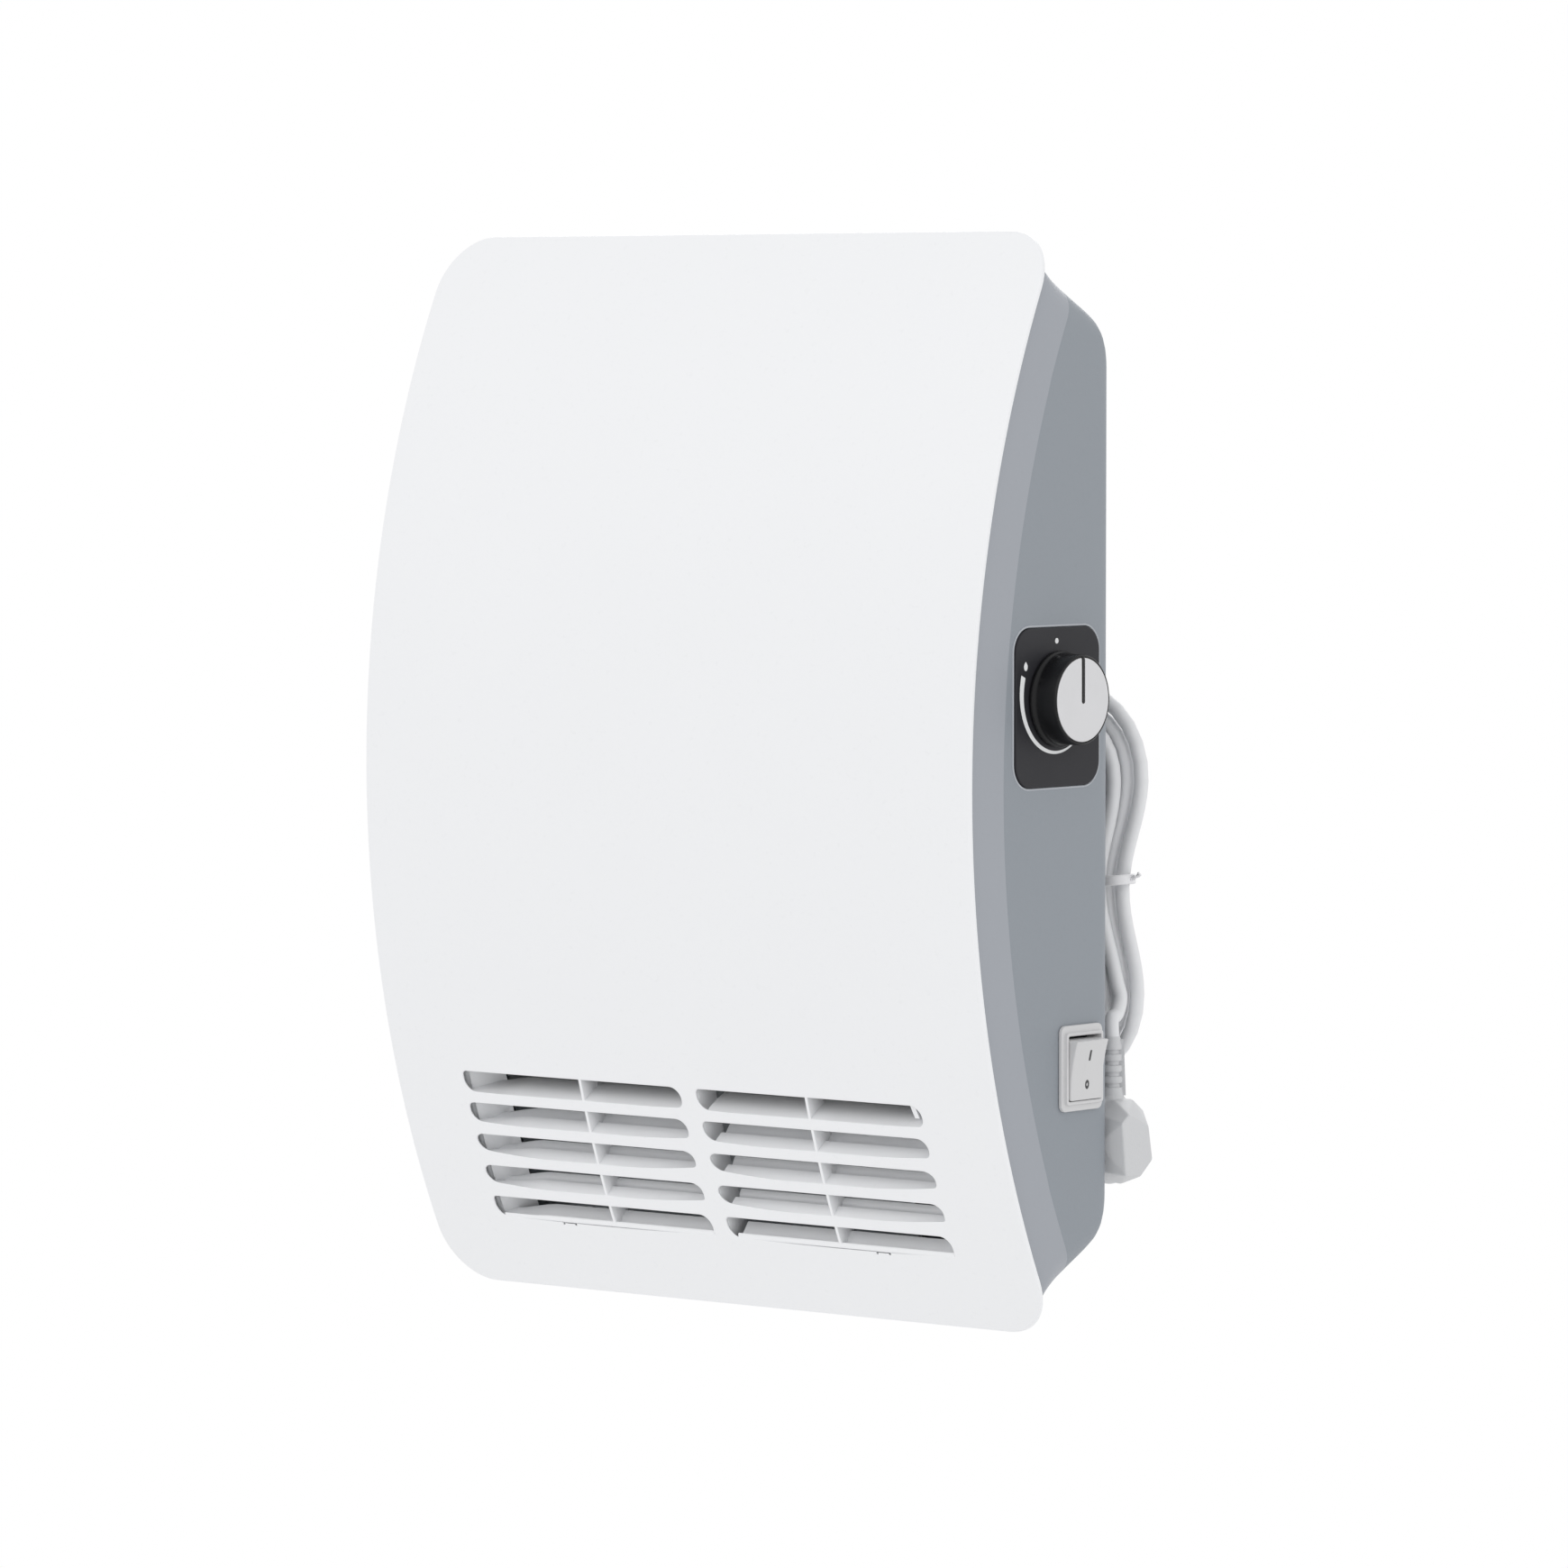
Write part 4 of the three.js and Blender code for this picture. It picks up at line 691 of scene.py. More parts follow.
def makeRelief():
    # tapered sleeve on the lead: slots down its two flanks, and a whole spine on each of the other sides
    bm = bmesh.new()
    centre = Vector((plug["x"], plug["y"], 0))
    length, wide, narrow, top = relief["length"], relief["wide"], relief["narrow"], relief["top"]
    low = top - length
    step = length * 0.78 / relief["ribs"]
    profile = [(low - 1, 0), (low - 1, wide + 0.3), (low + 1.2, wide + 0.1)]
    for i in range(relief["ribs"]):
        r = wide + (narrow + 0.35 - wide) * (i + 0.4) / relief["ribs"]
        base = low + 2.4 + step * i
        profile += [(base, r - 0.1), (base + 0.15, r - 1.05), (base + step * 0.4, r - 1.05),
                    (base + step * 0.4 + 0.15, r - 0.1), (base + step * 0.7, r + 0.08)]
    profile += [(low + length * 0.9, narrow), (top - 0.5, narrow - 0.25), (top, narrow - 0.6), (top, 0)]
    spun(bm, profile, centre, "Z", 40)
    for side in (-1, 1):
        hullOf(bm, [(centre.x + 1.35 * a + side * reach * 0.83, centre.y + side * reach * 0.55, height)
                    for height, proud in ((low - 1, 0.25), (top - 1.2, -0.65))
                    for a in (-1, -0.4, 0.4, 1) for reach in (1.5, wide + proud)])
    return asPiece("strainRelief", bm, "plugGrey", ["plug_strain_relief"], sharp=38)


# front panel
panel = {
    "width": 335, "height": 460, "corner": 24, "radius": 484, "centreY": 349, "thick": 2.2,
    "edge": 0.6, "crispEdge": 0.03,  # rounding of the moulded edges, and of the slots' lower ones
    "step": 6.5,  # height of the strips that follow the bow
    "tongues": [(-1, -95), (-1, 130), (1, -95), (1, 130)], "tongueX": (162.5, 164.5), "tongueY": (1.2, 16.2),
    "tongueHalf": 12,
}
slots = {
    "columns": ((-66.5, 124, -60.9), (65.6, 122.2, 65.2)),  # middle, width, upright
    "rows": 5, "firstTop": -133.4, "pitch": 14.1, "height": 9.5,
    "upperLeft": (1.8, 2.6, 3.4, 3.4, 1.8), "lowerRight": (3, 2.5, 2, 1.2, 0.8), "soft": 6, "perCorner": 8,
    "lift": (0.8, 1.6, 2.8, 2.4, 0.9), "liftPower": 2.5,  # rise of a slot's lower edge towards its ends
    "crispHalf": 62, "crispFade": 0.7,  # how the lower edge grows rounder towards its ends
    "depth": 14, "depthStep": 1.3, "rise": (7.9, 7.9, 7.8, 7.6, 7.2), "thick": 1.4,
    "crest": (None, (6.2, 4.5), (5.8, 4.5), (5.2, 4.3), (1.0, 2.7)),  # (depth, height) of each blade's step
    "twist": 0.5, "twistLength": 34,  # share by which a blade lies lower at its outer left end
    "wallFrom": 4.3, "wallTo": 16.2, "wallLean": 11, "wallThick": 0.9,
    "rib": 1.5, "ribDepth": 9,
    "partition": (3.0, 4.4, 13.6),  # walls behind the middle web: inner and outer face, depth
    "clips": (-20.7, 22.4), "clipHalf": 3.4, "clipNotch": ((0.6, 0), (0.5, -1), (-0.5, -1), (-0.6, -0.3)),
    "stub": ((120.2, 0.5), (121.9, -5.4)), "stubWide": 2.4, "stubDepth": (1.6, 5),  # at the top right end
}
bladeCuts = {  # lines in plan that end a blade, each by two (reach past the slot's end, depth) pairs
    "outer": ((0.2, slots["wallFrom"]), (0.2 - slots["wallLean"], slots["wallTo"])),
    "outerLeft": ((-4.6, 0), (0.4, 3.9)),
    "innerLeft": ((-4.3, 0), (-5.2, 14)),
    "right": ((-0.12, 0), (-0.12, 5)),
    "innerRight": ((0, 2.5), (-slots["wallLean"], 15.5)),
}


def bowY(z):
    return panel["centreY"] - math.sqrt(panel["radius"] ** 2 - z ** 2)


def lowEdge(row):
    return slots["firstTop"] - slots["pitch"] * row - slots["height"]


def bladeSection(row):
    # a blade's section as (depth, height above the slot's lower edge): in from the face to a step with a
    # groove behind it, on up to its inner edge, and back underneath
    depth = slots["depth"] - slots["depthStep"] * row
    rise, step, thick = slots["rise"][row], slots["crest"][row], slots["thick"]
    if row == slots["rows"] - 1:
        over = [(2.6, -0.9), (2.3, -0.5), (1.0, -0.15), (0.35, 0.15), (0.15, 0.5), (0.15, 1.0)]
        over += curve(over[-1], (0.2, 1.6), (0.5, 2.3), step, 5)
    else:
        over = [(0.04, -1.0), (0.04, -0.1), (0.08, 0.12), (0.2, 0.28), (0.4, 0.42)]
        if step:
            over += curve(over[-1], (step[0] * 0.4, step[1] * 0.42), (step[0] * 0.7, step[1] * 0.74), step, 6)
        else:
            over += curve(over[-1], (3.2, 2.3), (7, 5.0), (depth, rise), 14)
    if step:
        near, high = step
        over += [(near + 0.2, high - 0.1), (near + 0.35, high - 0.5), (near + 0.6, high - 1.1),
                 (near + 1.4, high - 1.2)]
        over += curve(over[-1], (near + 2.8, high - 0.4), (depth - 3, rise - 2.4), (depth, rise), 8)
    tip = [(depth + 0.35, rise - 0.05), (depth + 0.55, rise - 0.4), (depth + 0.5, rise - 1)]
    root, foot = over[0]
    under = curve(tip[-1], (depth * 0.65, rise * 0.1), (root + thick + 1.5, -0.6), (root + thick, foot), 8)
    return over + tip + under


def makeBlade(bm, middle, half, row):
    part = bmesh.new()
    lowZ = lowEdge(row)
    spare = 3
    drawnOut(part, [(middle - half - spare, depth, lowZ + up) for depth, up in bladeSection(row)],
             (2 * (half + spare), 0, 0))
    inner = "innerLeft" if middle > 0 else "innerRight"
    left = ["outerLeft", "outer"] if middle < 0 else [inner]
    right = ["right", "outer" if middle > 0 else inner]
    for side, cuts in ((-1, left), (1, right)):
        for (reach, depth), (farReach, farDepth) in (bladeCuts[name] for name in cuts):
            normal = Vector((side * (farDepth - depth), reach - farReach, 0)).normalized()
            sliced(part, (middle + side * (half + reach), depth, 0), normal, True)
            bmesh.ops.holes_fill(part, edges=[edge for edge in part.edges if edge.is_boundary], sides=0)
    if middle < 0:
        length = slots["twistLength"]
        for x in range(4, length, 5):
            sliced(part, (middle - half + x, 0, 0), (1, 0, 0))
        for vert in part.verts:
            share = max(0, (middle - half + length - vert.co.x) / length)
            if vert.co.z > lowZ and vert.co.y > 0.6:
                vert.co.z -= (vert.co.z - lowZ) * slots["twist"] * share * share * (3 - 2 * share)
    bmesh.ops.recalc_face_normals(part, faces=part.faces)
    addPart(bm, part)


def slotRing(middle, half, row):
    # a slot's outline about its centre: the lower edge rises to both ends, and the last has a clip's notch
    high, reach, perCorner = slots["height"] / 2, slots["clipHalf"], slots["perCorner"]
    ring = roundedRing(half, high, [slots["soft"], slots["upperLeft"][row], slots["soft"],
                                    slots["lowerRight"][row]], perCorner)
    clip = slots["clips"][middle > 0] if row == slots["rows"] - 1 else None
    low = [(u, 0) for u in range(-54, 60, 6) if clip is None or abs(u - clip) > reach + 1.5]
    if clip is not None:
        for side in (-1, 1):
            end = clip + side * reach
            low += [(end + side * out, up) for out, up in slots["clipNotch"]]
    lowStart = 3 * (perCorner + 1)
    ring[lowStart:lowStart] = [(u, v - high, 0, -1) for u, v in sorted(low, key=lambda point: point[0])]
    lift = slots["lift"][row]
    return [(u, v + lift * (abs(u) / half) ** slots["liftPower"] * max(0, 0.5 - v / high / 2), nu, nv)
            for u, v, nu, nv in ring]


def panelOutlines():
    # the panel's outline and the slots', each with its centre and the way its edge faces
    yield 0, 0, 1, roundedRing(panel["width"] / 2, panel["height"] / 2, panel["corner"], 14)
    for middle, width, _ in slots["columns"]:
        for row in range(slots["rows"]):
            yield middle, lowEdge(row) + slots["height"] / 2, -1, slotRing(middle, width / 2, row)


def makeSkin(bm):
    # face, rounded edges and back, with Y as the depth behind the face
    marks, spans = [], []
    crispest = panel["crispEdge"]
    for x, z, way, ring in panelOutlines():
        spans.append((len(marks), len(marks) + len(ring)))
        for u, v, nu, nv in ring:
            fade = 1 - slots["crispFade"] * (u / slots["crispHalf"]) ** 2
            crisp = max(0, -nv) ** 6 * fade if way < 0 else 0
            rounding = crispest + (panel["edge"] - crispest) * (1 - crisp)
            marks.append((x + u, z + v, nu * way, nv * way, way, rounding))
    turns = [math.radians(15 * i) for i in range(1, 7)]

    def station(mark, k):
        x, z, nx, nz, way, rho = marks[mark]
        line = [(-rho - 0.4, 0), (-rho, 0)]
        line += [(-rho * (1 - math.sin(a)), rho * (1 - math.cos(a))) for a in turns]
        side, inset = ((0, 1.9), -0.2) if way > 0 else ((-0.1, rho + 0.3), -1.25)
        line += [side, (inset, panel["thick"])]
        out, depth = line[k]
        return Vector((x + nx * out, depth, z + nz * out))

    loops = [startRing(bm, [station(i, 0) for i in range(*span)], span[0]) for span in spans]
    fill(bm, [edge for loop in loops for edge in loop], (0, -1, 0))
    for k in range(1, len(turns) + 4):
        loops = [growRing(bm, loop, lambda mark: station(mark, k)) for loop in loops]
    fill(bm, [edge for loop in loops for edge in loop], (0, 1, 0))
    bmesh.ops.recalc_face_normals(bm, faces=bm.faces)


def makeRibs(bm):
    # uprights across the slots, walls at the blades' ends, and the tongues that slide into the housing
    foot, top = lowEdge(slots["rows"] - 1), slots["firstTop"]
    wide, wallFrom, lean = slots["wallThick"], slots["wallFrom"], slots["wallLean"]
    near, far, deep = slots["partition"]
    low, high = foot + 0.5, top + 1
    for middle, width, upright in slots["columns"]:
        half, side = width / 2, math.copysign(1, middle)
        block(bm, (upright - slots["rib"] / 2, 0.3, foot + 1.2),
              (upright + slots["rib"] / 2, panel["thick"] + slots["ribDepth"], top + 2), 0.3)
        ends = [(half - 0.2, wallFrom), (half - 0.2 + wide, wallFrom),
                (half - lean, slots["wallTo"]), (half - lean + wide, slots["wallTo"])]
        hullOf(bm, [(middle + side * reach, depth, z) for reach, depth in ends for z in (low, high)])
        inside, outside = sorted((middle + side * (half - 0.5), middle + side * (half + 5)))
        block(bm, (inside, wallFrom, low), (outside, wallFrom + 0.9, high), 0.1)
        inside, outside = sorted((side * near, side * far))
        block(bm, (inside, 1.5, low), (outside, deep, high), 0.2)
    hullOf(bm, [(x + across, depth, top + up) for x, up in slots["stub"]
                for across in (0, slots["stubWide"]) for depth in slots["stubDepth"]])
    (tongueFrom, tongueTo), half = panel["tongueY"], panel["tongueHalf"]
    for side, z in panel["tongues"]:
        inside, outside = sorted(side * x for x in panel["tongueX"])
        block(bm, (inside, tongueFrom, z - half), (outside, tongueTo, z + half), 0.5)


def makePanel():
    # drawn flat, then cut into strips narrow enough to follow the bow, and bent back over it
    bm = bmesh.new()
    makeSkin(bm)
    for middle, width, _ in slots["columns"]:
        for row in range(slots["rows"]):
            makeBlade(bm, middle, width / 2, row)
    makeRibs(bm)
    z = (panel["step"] - panel["height"]) / 2
    while z < panel["height"] / 2:
        sliced(bm, (0, 0, z), (0, 0, 1))
        z += panel["step"]
    for vert in bm.verts:
        vert.co.y += bowY(vert.co.z)
    return asPiece("frontPanel", bm, "panelWhite", ["front_panel"], sharp=40)


# housing
shell = {
    "halfWidth": 167.3, "wall": 2.5, "backY": -40, "creaseRadius": 460, "frontRadius": 481.5, "lean": 1.5,
    "rearHalfHeight": 190, "frontHalfHeight": 226, "flareDepth": 41, "rearCorner": 11, "frontCorner": 22,
    "swell": ((0.24, 13), (0.68, 20)),  # of the flare: shares of its depth, and heights out from its two ends
    "edgeDepth": 6, "edgeDrop": 12, "edgeSide": 2.5, "rim": 3, "opening": (153, 167), "openingCorner": 8,
    "inwards": 160, "outwards": 172,  # between them a cutter goes right through the right side's wall
}
pillar = {"x": 146, "z": 158, "radius": 4.2, "back": -45.6, "front": -63.6, "ease": 0.6, "ribHalf": 1.4,
          "ribTo": 166}


def wallHalfHeight(depth):
    # S-shaped swell of the top and bottom walls at a depth in front of the housing's back
    long, rear, front = shell["flareDepth"], shell["rearHalfHeight"], shell["frontHalfHeight"]
    if depth >= long:
        return front
    (near, up), (far, down) = shell["swell"]
    t = found(0, 1, lambda t: bezier(t, 0, near * long, far * long, long) >= depth)
    return bezier(t, rear, rear + up, front - down, front)


def onOutline(mark, halfX, halfZ, corner, y):
    # mark is (side in X, side in Z, angle, 0) on a corner, or (.., .., None, share) along a straight stretch
    u, v, angle, share = mark
    cx, cz = halfX - corner, halfZ - corner
    if angle is not None:
        return Vector((u * cx + corner * math.cos(angle), y, v * cz + corner * math.sin(angle)))
    if u:
        return Vector((u * halfX, y, v * cz * share))
    return Vector((cx * share * -v, y, v * halfZ))


def housingPoint(mark, depth, inward=0.0, squeeze=0.0):
    turn = max(0.0, 1 - depth / shell["edgeDepth"])
    eased = 1 - math.sqrt(max(0.0, 1 - turn ** 2))
    halfZ = wallHalfHeight(depth) - shell["edgeDrop"] * eased - inward
    halfX = shell["halfWidth"] - shell["edgeSide"] * eased - inward - squeeze
    grown = min(1, depth / shell["flareDepth"])
    corner = shell["rearCorner"] + (shell["frontCorner"] - shell["rearCorner"]) * grown - inward
    return onOutline(mark, halfX, halfZ, corner, shell["backY"] - depth)


def fromBow(y, z):
    return math.hypot(y - panel["centreY"], z)


def depthAt(mark, radius):
    # how deep in front of its back the housing's wall meets a bow of this radius
    return found(0, 110, lambda depth: fromBow(*housingPoint(mark, depth).yz) >= radius)


def outlineMarks():
    marks = []
    for k, (u, v) in enumerate([(1, 1), (-1, 1), (-1, -1), (1, -1)]):
        marks += [(u, v, math.pi / 2 * (k + i / 9), 0) for i in range(10)]
        if k in (0, 2):
            marks += [(0, v, None, -1 + 2 * i / 24) for i in range(1, 24)]
        else:
            marks += [(u, 1, None, v * (1 - 2 * i / 60)) for i in range(1, 60)]
    return marks


def makePillars(bm):
    # posts for the rear panel's screws, each ribbed to its side wall
    back, front, radius, ease, rib = (pillar[name] for name in ("back", "front", "radius", "ease", "ribHalf"))
    for x in (-pillar["x"], pillar["x"]):
        for z in (-pillar["z"], pillar["z"]):
            spun(bm, [(back, 0), (back, radius), (front + ease, radius), (front, radius - ease), (front, 0)],
                 (x, 0, z), "Y", 20)
            low, high = sorted((x, math.copysign(pillar["ribTo"], x)))
            block(bm, (low, front, z - rib), (high, back - 0.2, z + rib), 0.3)


def makeHousing():
    # one skin: out from the rear opening, forward over the outside, round the front lip and back inside
    bm = bmesh.new()
    marks = outlineMarks()
    crease = [depthAt(mark, shell["creaseRadius"]) for mark in marks]
    front = [depthAt(mark, shell["frontRadius"]) for mark in marks]
    backY, (openX, openZ) = shell["backY"], shell["opening"]

    def opening(mark, y, out=0.0):
        return onOutline(marks[mark], openX + out, openZ + out, shell["openingCorner"] + out, y)

    def wall(mark, s, inward=0.0):
        # s counts from the back: 1 where its rounding ends, 2 at the crease, 3 at the front
        edge = shell["edgeDepth"]
        if s <= 1:
            depth = edge * s
        elif s <= 2:
            depth = edge + (crease[mark] - edge) * (s - 1)
        else:
            depth = crease[mark] + (front[mark] - crease[mark]) * (s - 2)
        return housingPoint(marks[mark], depth, inward, shell["lean"] * max(0, s - 2) * (inward == 0))

    outside = [0, 0.03, 0.1, 0.22, 0.4, 0.65, 1, 1.12, 1.25, 1.38, 1.5, 1.62, 1.75, 1.88, 1.96, 1.99]
    outside += [2.01, 2.04, 2.15, 2.3, 2.45, 2.6, 2.75, 2.9, 2.98]
    inside = [2.99, 2.8, 2.5, 2.2, 2, 1.75, 1.5, 1.25, 1, 0.7, 0.5]
    steps = [lambda m: opening(m, backY - shell["rim"]), lambda m: opening(m, backY - 0.4),
             lambda m: opening(m, backY, 0.4)]
    steps += [lambda m, s=s: wall(m, s) for s in outside]
    steps += [lambda m: wall(m, 3) + (wall(m, 3, 0.5) - wall(m, 3)) * 0.9]
    steps += [lambda m, s=s: wall(m, s, shell["wall"]) for s in inside]
    steps += [steps[0]]
    loft(bm, lambda mark, k: steps[k](mark), len(marks), len(steps))
    makePillars(bm)
    housing = asPiece("housing", bm, "housingGrey", ["housing_shell"], sharp=50)
    # the band in front of the crease is a little smoother, and painted paler: painted light for the light
    # that its forward lean catches
    housing.data.materials.append(finishes["paintedLightBandGrey"])
    for face in housing.data.polygons:
        _, y, z = face.center * 1000
        face.material_index = int(fromBow(y, z) > shell["creaseRadius"] + 1.2)
    inwards, outwards = shell["inwards"], shell["outwards"]
    carve(housing, [holeCutter(control["recess"], control["floor"], outwards),
                    holeCutter(rocker["hole"], inwards, outwards),
                    holeCutter(knob["hole"], inwards, outwards)], 30)
    return housing


# control plate, its marks and the knob
control = {
    "y": -76.5, "z": 32.7, "width": 57, "height": 66, "corner": 10, "back": 166.6, "front": 168.2,
    "recess": (57.6, 66.6, 10.3, -76.5, 32.7), "floor": 166.3,
    "edge": ((0.45, 0), (0.2, 0.08), (0.06, 0.25), (0, 0.5), (0, 1.0)),  # below the face, in from the outline
    "bead": 0.45, "beadX": 167.25, "beadHigh": 0.5,
}
dial = {  # angles about the knob, then radii
    "offDot": (92, 24.2), "dotRadius": 1.15,
    "drop": (147, 26.0), "dropHalf": (1.25, 1.9),
    "arc": (157, 303), "arcRadius": 26.9, "drawIn": 5.2, "arcWidth": (2.9, 0.7),
    "below": 0.05, "proud": 0.06,
}
knob = {"z": 36, "back": 168.7, "base": 20, "rim": 18.7, "height": 12.5, "cap": 17.5, "pointer": 2.0,
        "hole": (10, 10, 5, -76.5, 36)}


def makePlate():
    bm = bmesh.new()
    ring = roundedRing(control["width"] / 2, control["height"] / 2, control["corner"], 14)
    back, front = control["back"], control["front"]
    edge = [(0.3, back), (0, back + 0.3)] + [(inset, front - below) for below, inset in control["edge"]]

    def at(mark, k):
        u, v, nu, nv = ring[mark]
        inset, x = edge[k]
        return Vector((x, control["y"] + u - nu * inset, control["z"] + v - nv * inset))

    loft(bm, at, len(ring), len(edge), True)
    return asPiece("controlPlate", bm, "plateBlack", ["control_plate"])


def makeLip():
    # fine bead of the housing round the plate's recess, in a grey paler than the housing's: a painted
    # highlight on its rounded edge
    bm = bmesh.new()
    width, height, corner, y, z = control["recess"]
    half = control["bead"]
    ring = roundedRing(width / 2 + half, height / 2 + half, corner + half, 14)
    section = oval(half, control["beadHigh"], 10)

    def at(mark, k):
        u, v, nu, nv = ring[mark]
        out, high = section[k % len(section)]
        return Vector((control["beadX"] + high, y + u + nu * out, z + v + nv * out))

    loft(bm, at, len(ring), len(section) + 1)
    return asPiece("recessBead", bm, "paintedHighlightBeadGrey")


def makeDialMarks():
    # printed marks: the off dot, a drop where the scale begins, and the arc that runs down round the knob
    bm = bmesh.new()

    def polar(angle, r):
        return r * math.cos(math.radians(angle)), r * math.sin(math.radians(angle))

    def inked(outline, middle=(0, 0)):
        def at(mark, x):
            u, v = outline[mark]
            return Vector((x, control["y"] + middle[0] + u, knob["z"] + middle[1] + v))

        edges = startRing(bm, [at(i, control["front"] - dial["below"]) for i in range(len(outline))])
        top = growRing(bm, edges, lambda mark: at(mark, control["front"] + dial["proud"]))
        fill(bm, top, (1, 0, 0))

    inked(oval(dial["dotRadius"], dial["dotRadius"], 24), polar(*dial["offDot"]))
    halfWide, halfHigh = dial["dropHalf"]
    drop = oval(halfWide, halfHigh, 32)
    inked([(u * (1 - 0.62 * max(0, v / halfHigh) ** 1.5), v) for u, v in drop], polar(*dial["drop"]))
    (start, end), (wide, narrow) = dial["arc"], dial["arcWidth"]
    shares = [i / 48 for i in range(49)]
    outer = [(start + (end - start) * t, dial["arcRadius"] - dial["drawIn"] * t ** 0.8) for t in shares]
    inner = [(angle, r - wide + (wide - narrow) * t) for t, (angle, r) in zip(shares, outer)]
    inked([polar(*point) for point in outer + inner[::-1]])
    return asPiece("dialMarks", bm, "printWhite", sharp=60)


def makeKnob():
    centre = (0, control["y"], knob["z"])
    back, base, rim, cap = knob["back"], knob["base"], knob["rim"], knob["cap"]
    top = back + knob["height"]
    bm = bmesh.new()
    spun(bm, [(back, 0), (back, base - 0.3), (back + 0.3, base), (back + 1.3, base),
              (back + 1.7, base - 0.25), (back + 2.0, rim + 0.75), (back + 2.5, rim + 0.42),
              (back + 3.4, rim + 0.3), (top - 0.9, rim), (top - 0.35, rim - 0.15), (top - 0.05, rim - 0.5),
              (top, rim - 0.8), (top, cap + 0.22), (top - 0.25, cap + 0.12), (top - 1.5, cap + 0.12),
              (top - 1.5, 0)], centre, "X", 128)
    half = knob["pointer"] / 2
    block(bm, (top - 2, control["y"] - half, knob["z"] - 1.2),
          (top + 0.25, control["y"] + half, knob["z"] + cap + 0.6), 0.28)
    asPiece("knobSkirt", bm, "knobBlack", ["thermostat_knob"], "thermostat_dial")

    # the cap is slit for the pointer
    bm = bmesh.new()
    spun(bm, [(top - 1.2, 0), (top - 1.2, cap), (top - 0.25, cap), (top + 0.05, cap - 0.1),
              (top + 0.22, cap - 0.4), (top + 0.3, cap - 1.0), (top + 0.34, cap * 0.6),
              (top + 0.36, cap * 0.3), (top + 0.36, 0)], centre, "X", 128)
    piece = asPiece("knobCap", bm, "knobSilver", ["knob_cap"], "thermostat_dial")
    slit = (2 * half + 0.3, cap + 3.6, half + 0.13, control["y"], knob["z"] + cap / 2 + 0.2)
    carve(piece, [holeCutter(slit, top - 3, top + 3)], 32)


# rocker switch
rocker = {
    "y": -60.5, "z": -118.5, "width": 21.4, "height": 25.3, "crown": 6.5, "dish": 1.1, "tilt": 8,
    "pivotX": 166.9, "pin": 1.2, "hole": (25.8, 30.9, 1.0, -60.5, -118.5), "seat": 167.6,
    "onMark": ((3, -0.62, 3.9), (7, 0.62, 8.5)), "offMark": (1.35, 1.95), "offMiddle": -6.2, "offHole": 0.36,
    "proud": 0.05,
}
bezelLine = [  # half width, half height and corner of its outline, and how far out from the seat
    (14, 18, 3, 0), (14, 18, 3, 1.1), (13.85, 17.85, 2.85, 1.4), (13.5, 17.5, 2.5, 1.58),
    (13.1, 16.6, 2.1, 1.6), (12.8, 15.45, 1.8, 1.66), (12.62, 15.2, 1.6, 1.95), (12.6, 15.15, 1.5, 2.8),
    (12.45, 15.0, 1.4, 3.1), (12.2, 14.75, 1.2, 3.2), (11.5, 14.05, 0.9, 3.2), (11.2, 13.75, 0.7, 3.1),
    (11.1, 13.65, 0.6, 2.8), (11.1, 13.65, 0.6, -4.6), (12.6, 15.15, 1.5, -4.6), (12.6, 15.15, 1.5, 0),
    (14, 18, 3, 0)]


def makeBezel():
    bm = bmesh.new()
    rings = [roundedRing(halfU, halfV, corner, 8) for halfU, halfV, corner, _ in bezelLine]

    def at(mark, k):
        u, v, _, _ = rings[k][mark]
        return Vector((rocker["seat"] + bezelLine[k][3], rocker["y"] + u, rocker["z"] + v))

    loft(bm, at, len(rings[0]), len(rings))
    return asPiece("switchBezel", bm, "switchGrey", ["switch_bezel"], sharp=40)


def rockerFace(z):
    # how far out the dished face stands at a height from its middle, before the rocker is tipped
    half = rocker["height"] / 2
    return rocker["crown"] - rocker["dish"] * (1 - (z / half) ** 2)


def tipped(bm):
    turn = Matrix.Rotation(math.radians(rocker["tilt"]), 4, "Y")
    bmesh.ops.transform(bm, matrix=turn, verts=bm.verts)
    bmesh.ops.translate(bm, vec=(rocker["pivotX"], rocker["y"], rocker["z"]), verts=bm.verts)


def makeRocker():
    bm = bmesh.new()
    half, halfWidth, pin = rocker["height"] / 2, rocker["width"] / 2, rocker["pin"]
    outline = [(-5, -6), (-1.5, -half + 0.3), (rocker["crown"], -half)]
    outline += [(rockerFace(z), z) for z in (half * (-1 + i / 9) for i in range(1, 18))]
    outline += [(rocker["crown"], half), (-1.5, half - 0.3), (-5, 6)]
    drawnOut(bm, [(x, -halfWidth, z) for x, z in outline], (0, 2 * halfWidth, 0))
    roundEdges(bm, 0.7, 4, 30)
    end = halfWidth + 1.2
    spun(bm, [(-end, 0), (-end, pin), (end, pin), (end, 0)], (0, 0, 0), "Y", 20)
    tipped(bm)
    asPiece("rockerCap", bm, "switchGrey", ["switch_rocker"], "rocker", sharp=35)


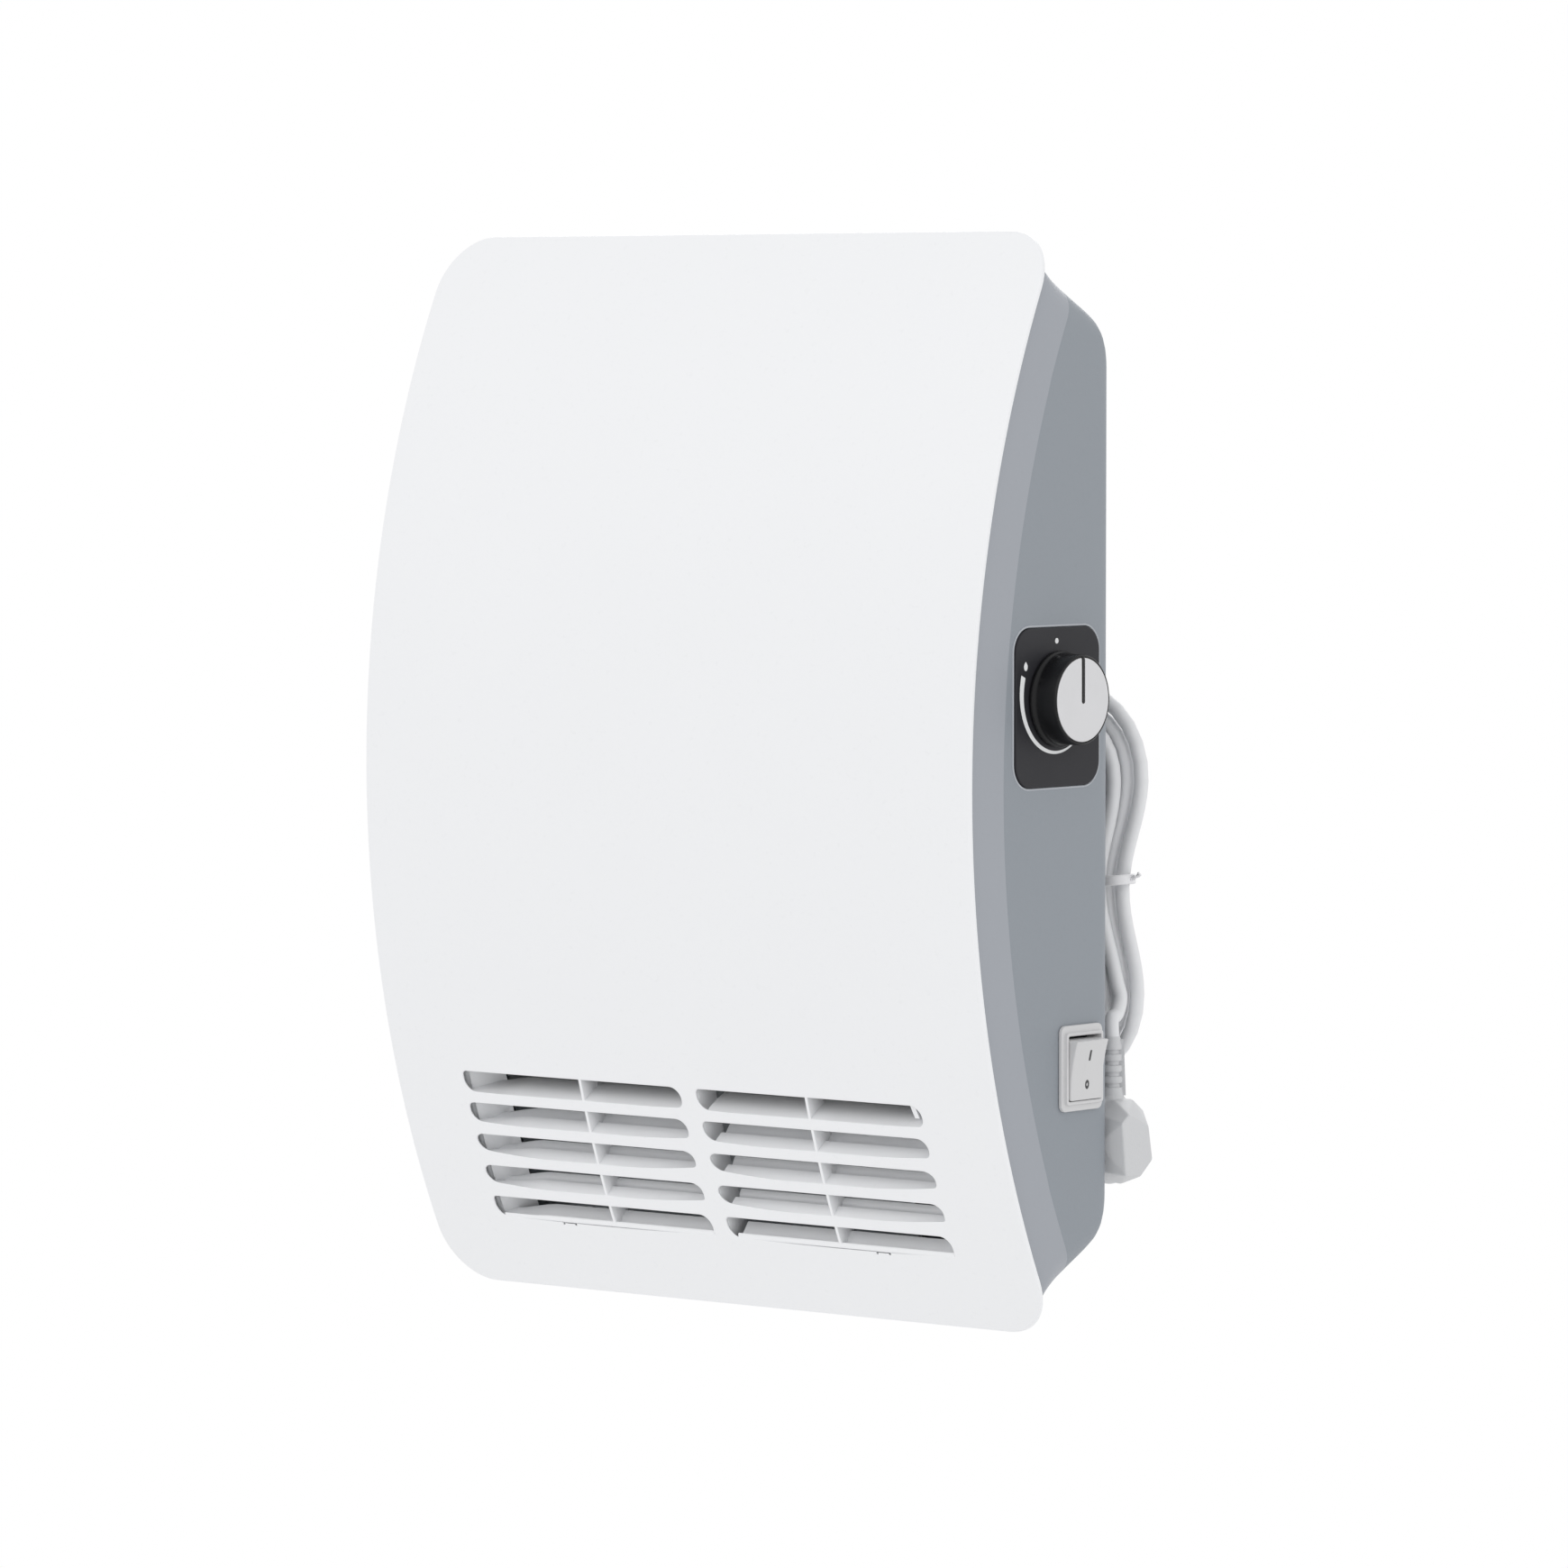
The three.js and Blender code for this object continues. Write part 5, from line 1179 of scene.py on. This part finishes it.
def makeRockerMarks():
    # the on and off marks, thin prints that follow the dish
    bm = bmesh.new()
    deep, high = (corner[0] for corner in rocker["onMark"])
    block(bm, *rocker["onMark"], 0.25, 1)
    outer = oval(*rocker["offMark"], 32)
    stations = [(1, deep), (1, high), (rocker["offHole"], high), (rocker["offHole"], deep), (1, deep)]

    def at(mark, k):
        u, v = outer[mark]
        share, x = stations[k]
        return Vector((x, u * share, rocker["offMiddle"] + v * share))

    loft(bm, at, len(outer), len(stations))
    bmesh.ops.subdivide_edges(bm, edges=[e for e in bm.edges if abs(e.verts[0].co.z - e.verts[1].co.z) > 2],
                              cuts=5)
    for vert in bm.verts:
        vert.co.x = rockerFace(vert.co.z) + (rocker["proud"] if vert.co.x > (deep + high) / 2 else -0.5)
    tipped(bm)
    asPiece("rockerMarks", bm, "printDark", body="rocker", sharp=50)


# nodes kept from the frame, and softened copies of those that the back shows
keptFinishes = {
    "ceramic": ["thermostat_body", "heater_frame", "terminal_block"],
    "nickel": ["thermostat_spindle", "thermal_cutout", "plug_pin_lower", "plug_pin_upper",
               "plug_earth_clip_1", "plug_earth_clip_2"],
    "screwSteel": ["fan_shaft"],
    "fanDark": ["fan_wheel"],
    "brass": ["fan_bearing", "motor_bearing_inner", "motor_bearing_outer"],
    "laminated": ["motor_stator"],
    "copper": ["motor_coil"],
    "aluminium": ["motor_rotor", "motor_bracket_inner", "motor_bracket_outer", "heating_bar_front",
                  "heating_bar_rear"],
    "sheetSteel": ["fan_scroll", "fan_tongue", "duct_side_left", "duct_side_right"],
    "insulation": ["wire_live_in", "wire_switched", "wire_to_cutout"],
    "sleeveRubber": ["fan_bearing_grommet"],
}
softCopies = [  # name, node, finish, slot, edge width
    ("rearCover", "rear_panel", "rearGrey", "rear_moulding", 0.35),
    ("wallBracket", "wall_bracket", "bracketSteel", "bracket_steel", 0.25),
    ("cordOutletHood", "cord_outlet_hood", "rearGrey", "rear_moulding", 0.5),
    ("outletSleeve", "cord_outlet_sleeve", "sleeveRubber", "sleeve_rubber", 0.3),
    ("switchBody", "switch_body", "rearGrey", "rear_moulding", 0.3),
]
screws = {
    "groups": [("rearScrews", "rear_panel_screw"), ("bracketScrews", "bracket_screw"),
               ("hoodScrews", "hood_screw")],
    "head": 3.5, "shank": 1.5, "crossWide": 0.85, "crossReach": 2.0, "crossDepth": 1.2,
}


def dressKept():
    for finish, names in keptFinishes.items():
        for name in names:
            mesh = nodes[name].data
            mesh.materials.clear()
            mesh.materials.append(finishes[finish])


def makeSoftCopy(name, node, finish, slot, width):
    bm = bmesh.new()
    bm.from_mesh(nodes[node].data)
    bmesh.ops.scale(bm, vec=(1000, 1000, 1000), verts=bm.verts)
    bmesh.ops.remove_doubles(bm, verts=bm.verts, dist=1e-3)
    bmesh.ops.dissolve_limit(bm, angle_limit=math.radians(1), verts=bm.verts, edges=bm.edges)
    roundEdges(bm, width, 2, 50)
    return asPiece(name, bm, finish, [node], turned=False)


def makeScrews(title, stem):
    # pan heads with a cross recess, each where the frame has its screw, heads towards the wall
    names = sorted(name for name in nodes if name.startswith(stem))
    head, shank, reach, wide = screws["head"], screws["shank"], screws["crossReach"], screws["crossWide"] / 2
    bm = bmesh.new()
    crosses = [bmesh.new(), bmesh.new()]
    for name in names:
        low, high = (Vector(corner) * 1000 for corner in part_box(name))
        x, z, top = (low.x + high.x) / 2, (low.z + high.z) / 2, high.y
        part = bmesh.new()
        spun(part, [(top, 0), (top - 0.1, 1.2), (top - 0.32, 2.3), (top - 0.62, head - 0.45),
                    (top - 0.95, head - 0.12), (top - 1.3, head), (top - 2, head), (top - 2, shank),
                    (low.y + 1.5, shank), (low.y, 0)], (x, 0, z), "Y", 32)
        addPart(bm, part)
        for cross, (dx, dz) in zip(crosses, ((reach, wide), (wide, reach))):
            block(cross, (x - dx, top - screws["crossDepth"], z - dz), (x + dx, top + 1, z + dz))
    carve(asPiece(title, bm, "screwSteel", names), crosses, 35)


mainsCord, cordLength = makeCord()
twistTie = makeTie()
plugBody = makePlug()
strainRelief = makeRelief()
print("lead, tie and plug are made")
makePanel()
print("front panel is made")
makeHousing()
makeLip()
print("housing is made")
makePlate()
makeDialMarks()
makeKnob()
makeBezel()
makeRocker()
makeRockerMarks()
print("controls are made")
dressKept()
for row in softCopies:
    makeSoftCopy(*row)
for group in screws["groups"]:
    makeScrews(*group)
print("back and inner pieces are finished")

([twistTie, strainRelief, plugBody]
        + [nodes[n] for n in ("plug_earth_clip_1", "plug_earth_clip_2", "plug_pin_lower", "plug_pin_upper")])
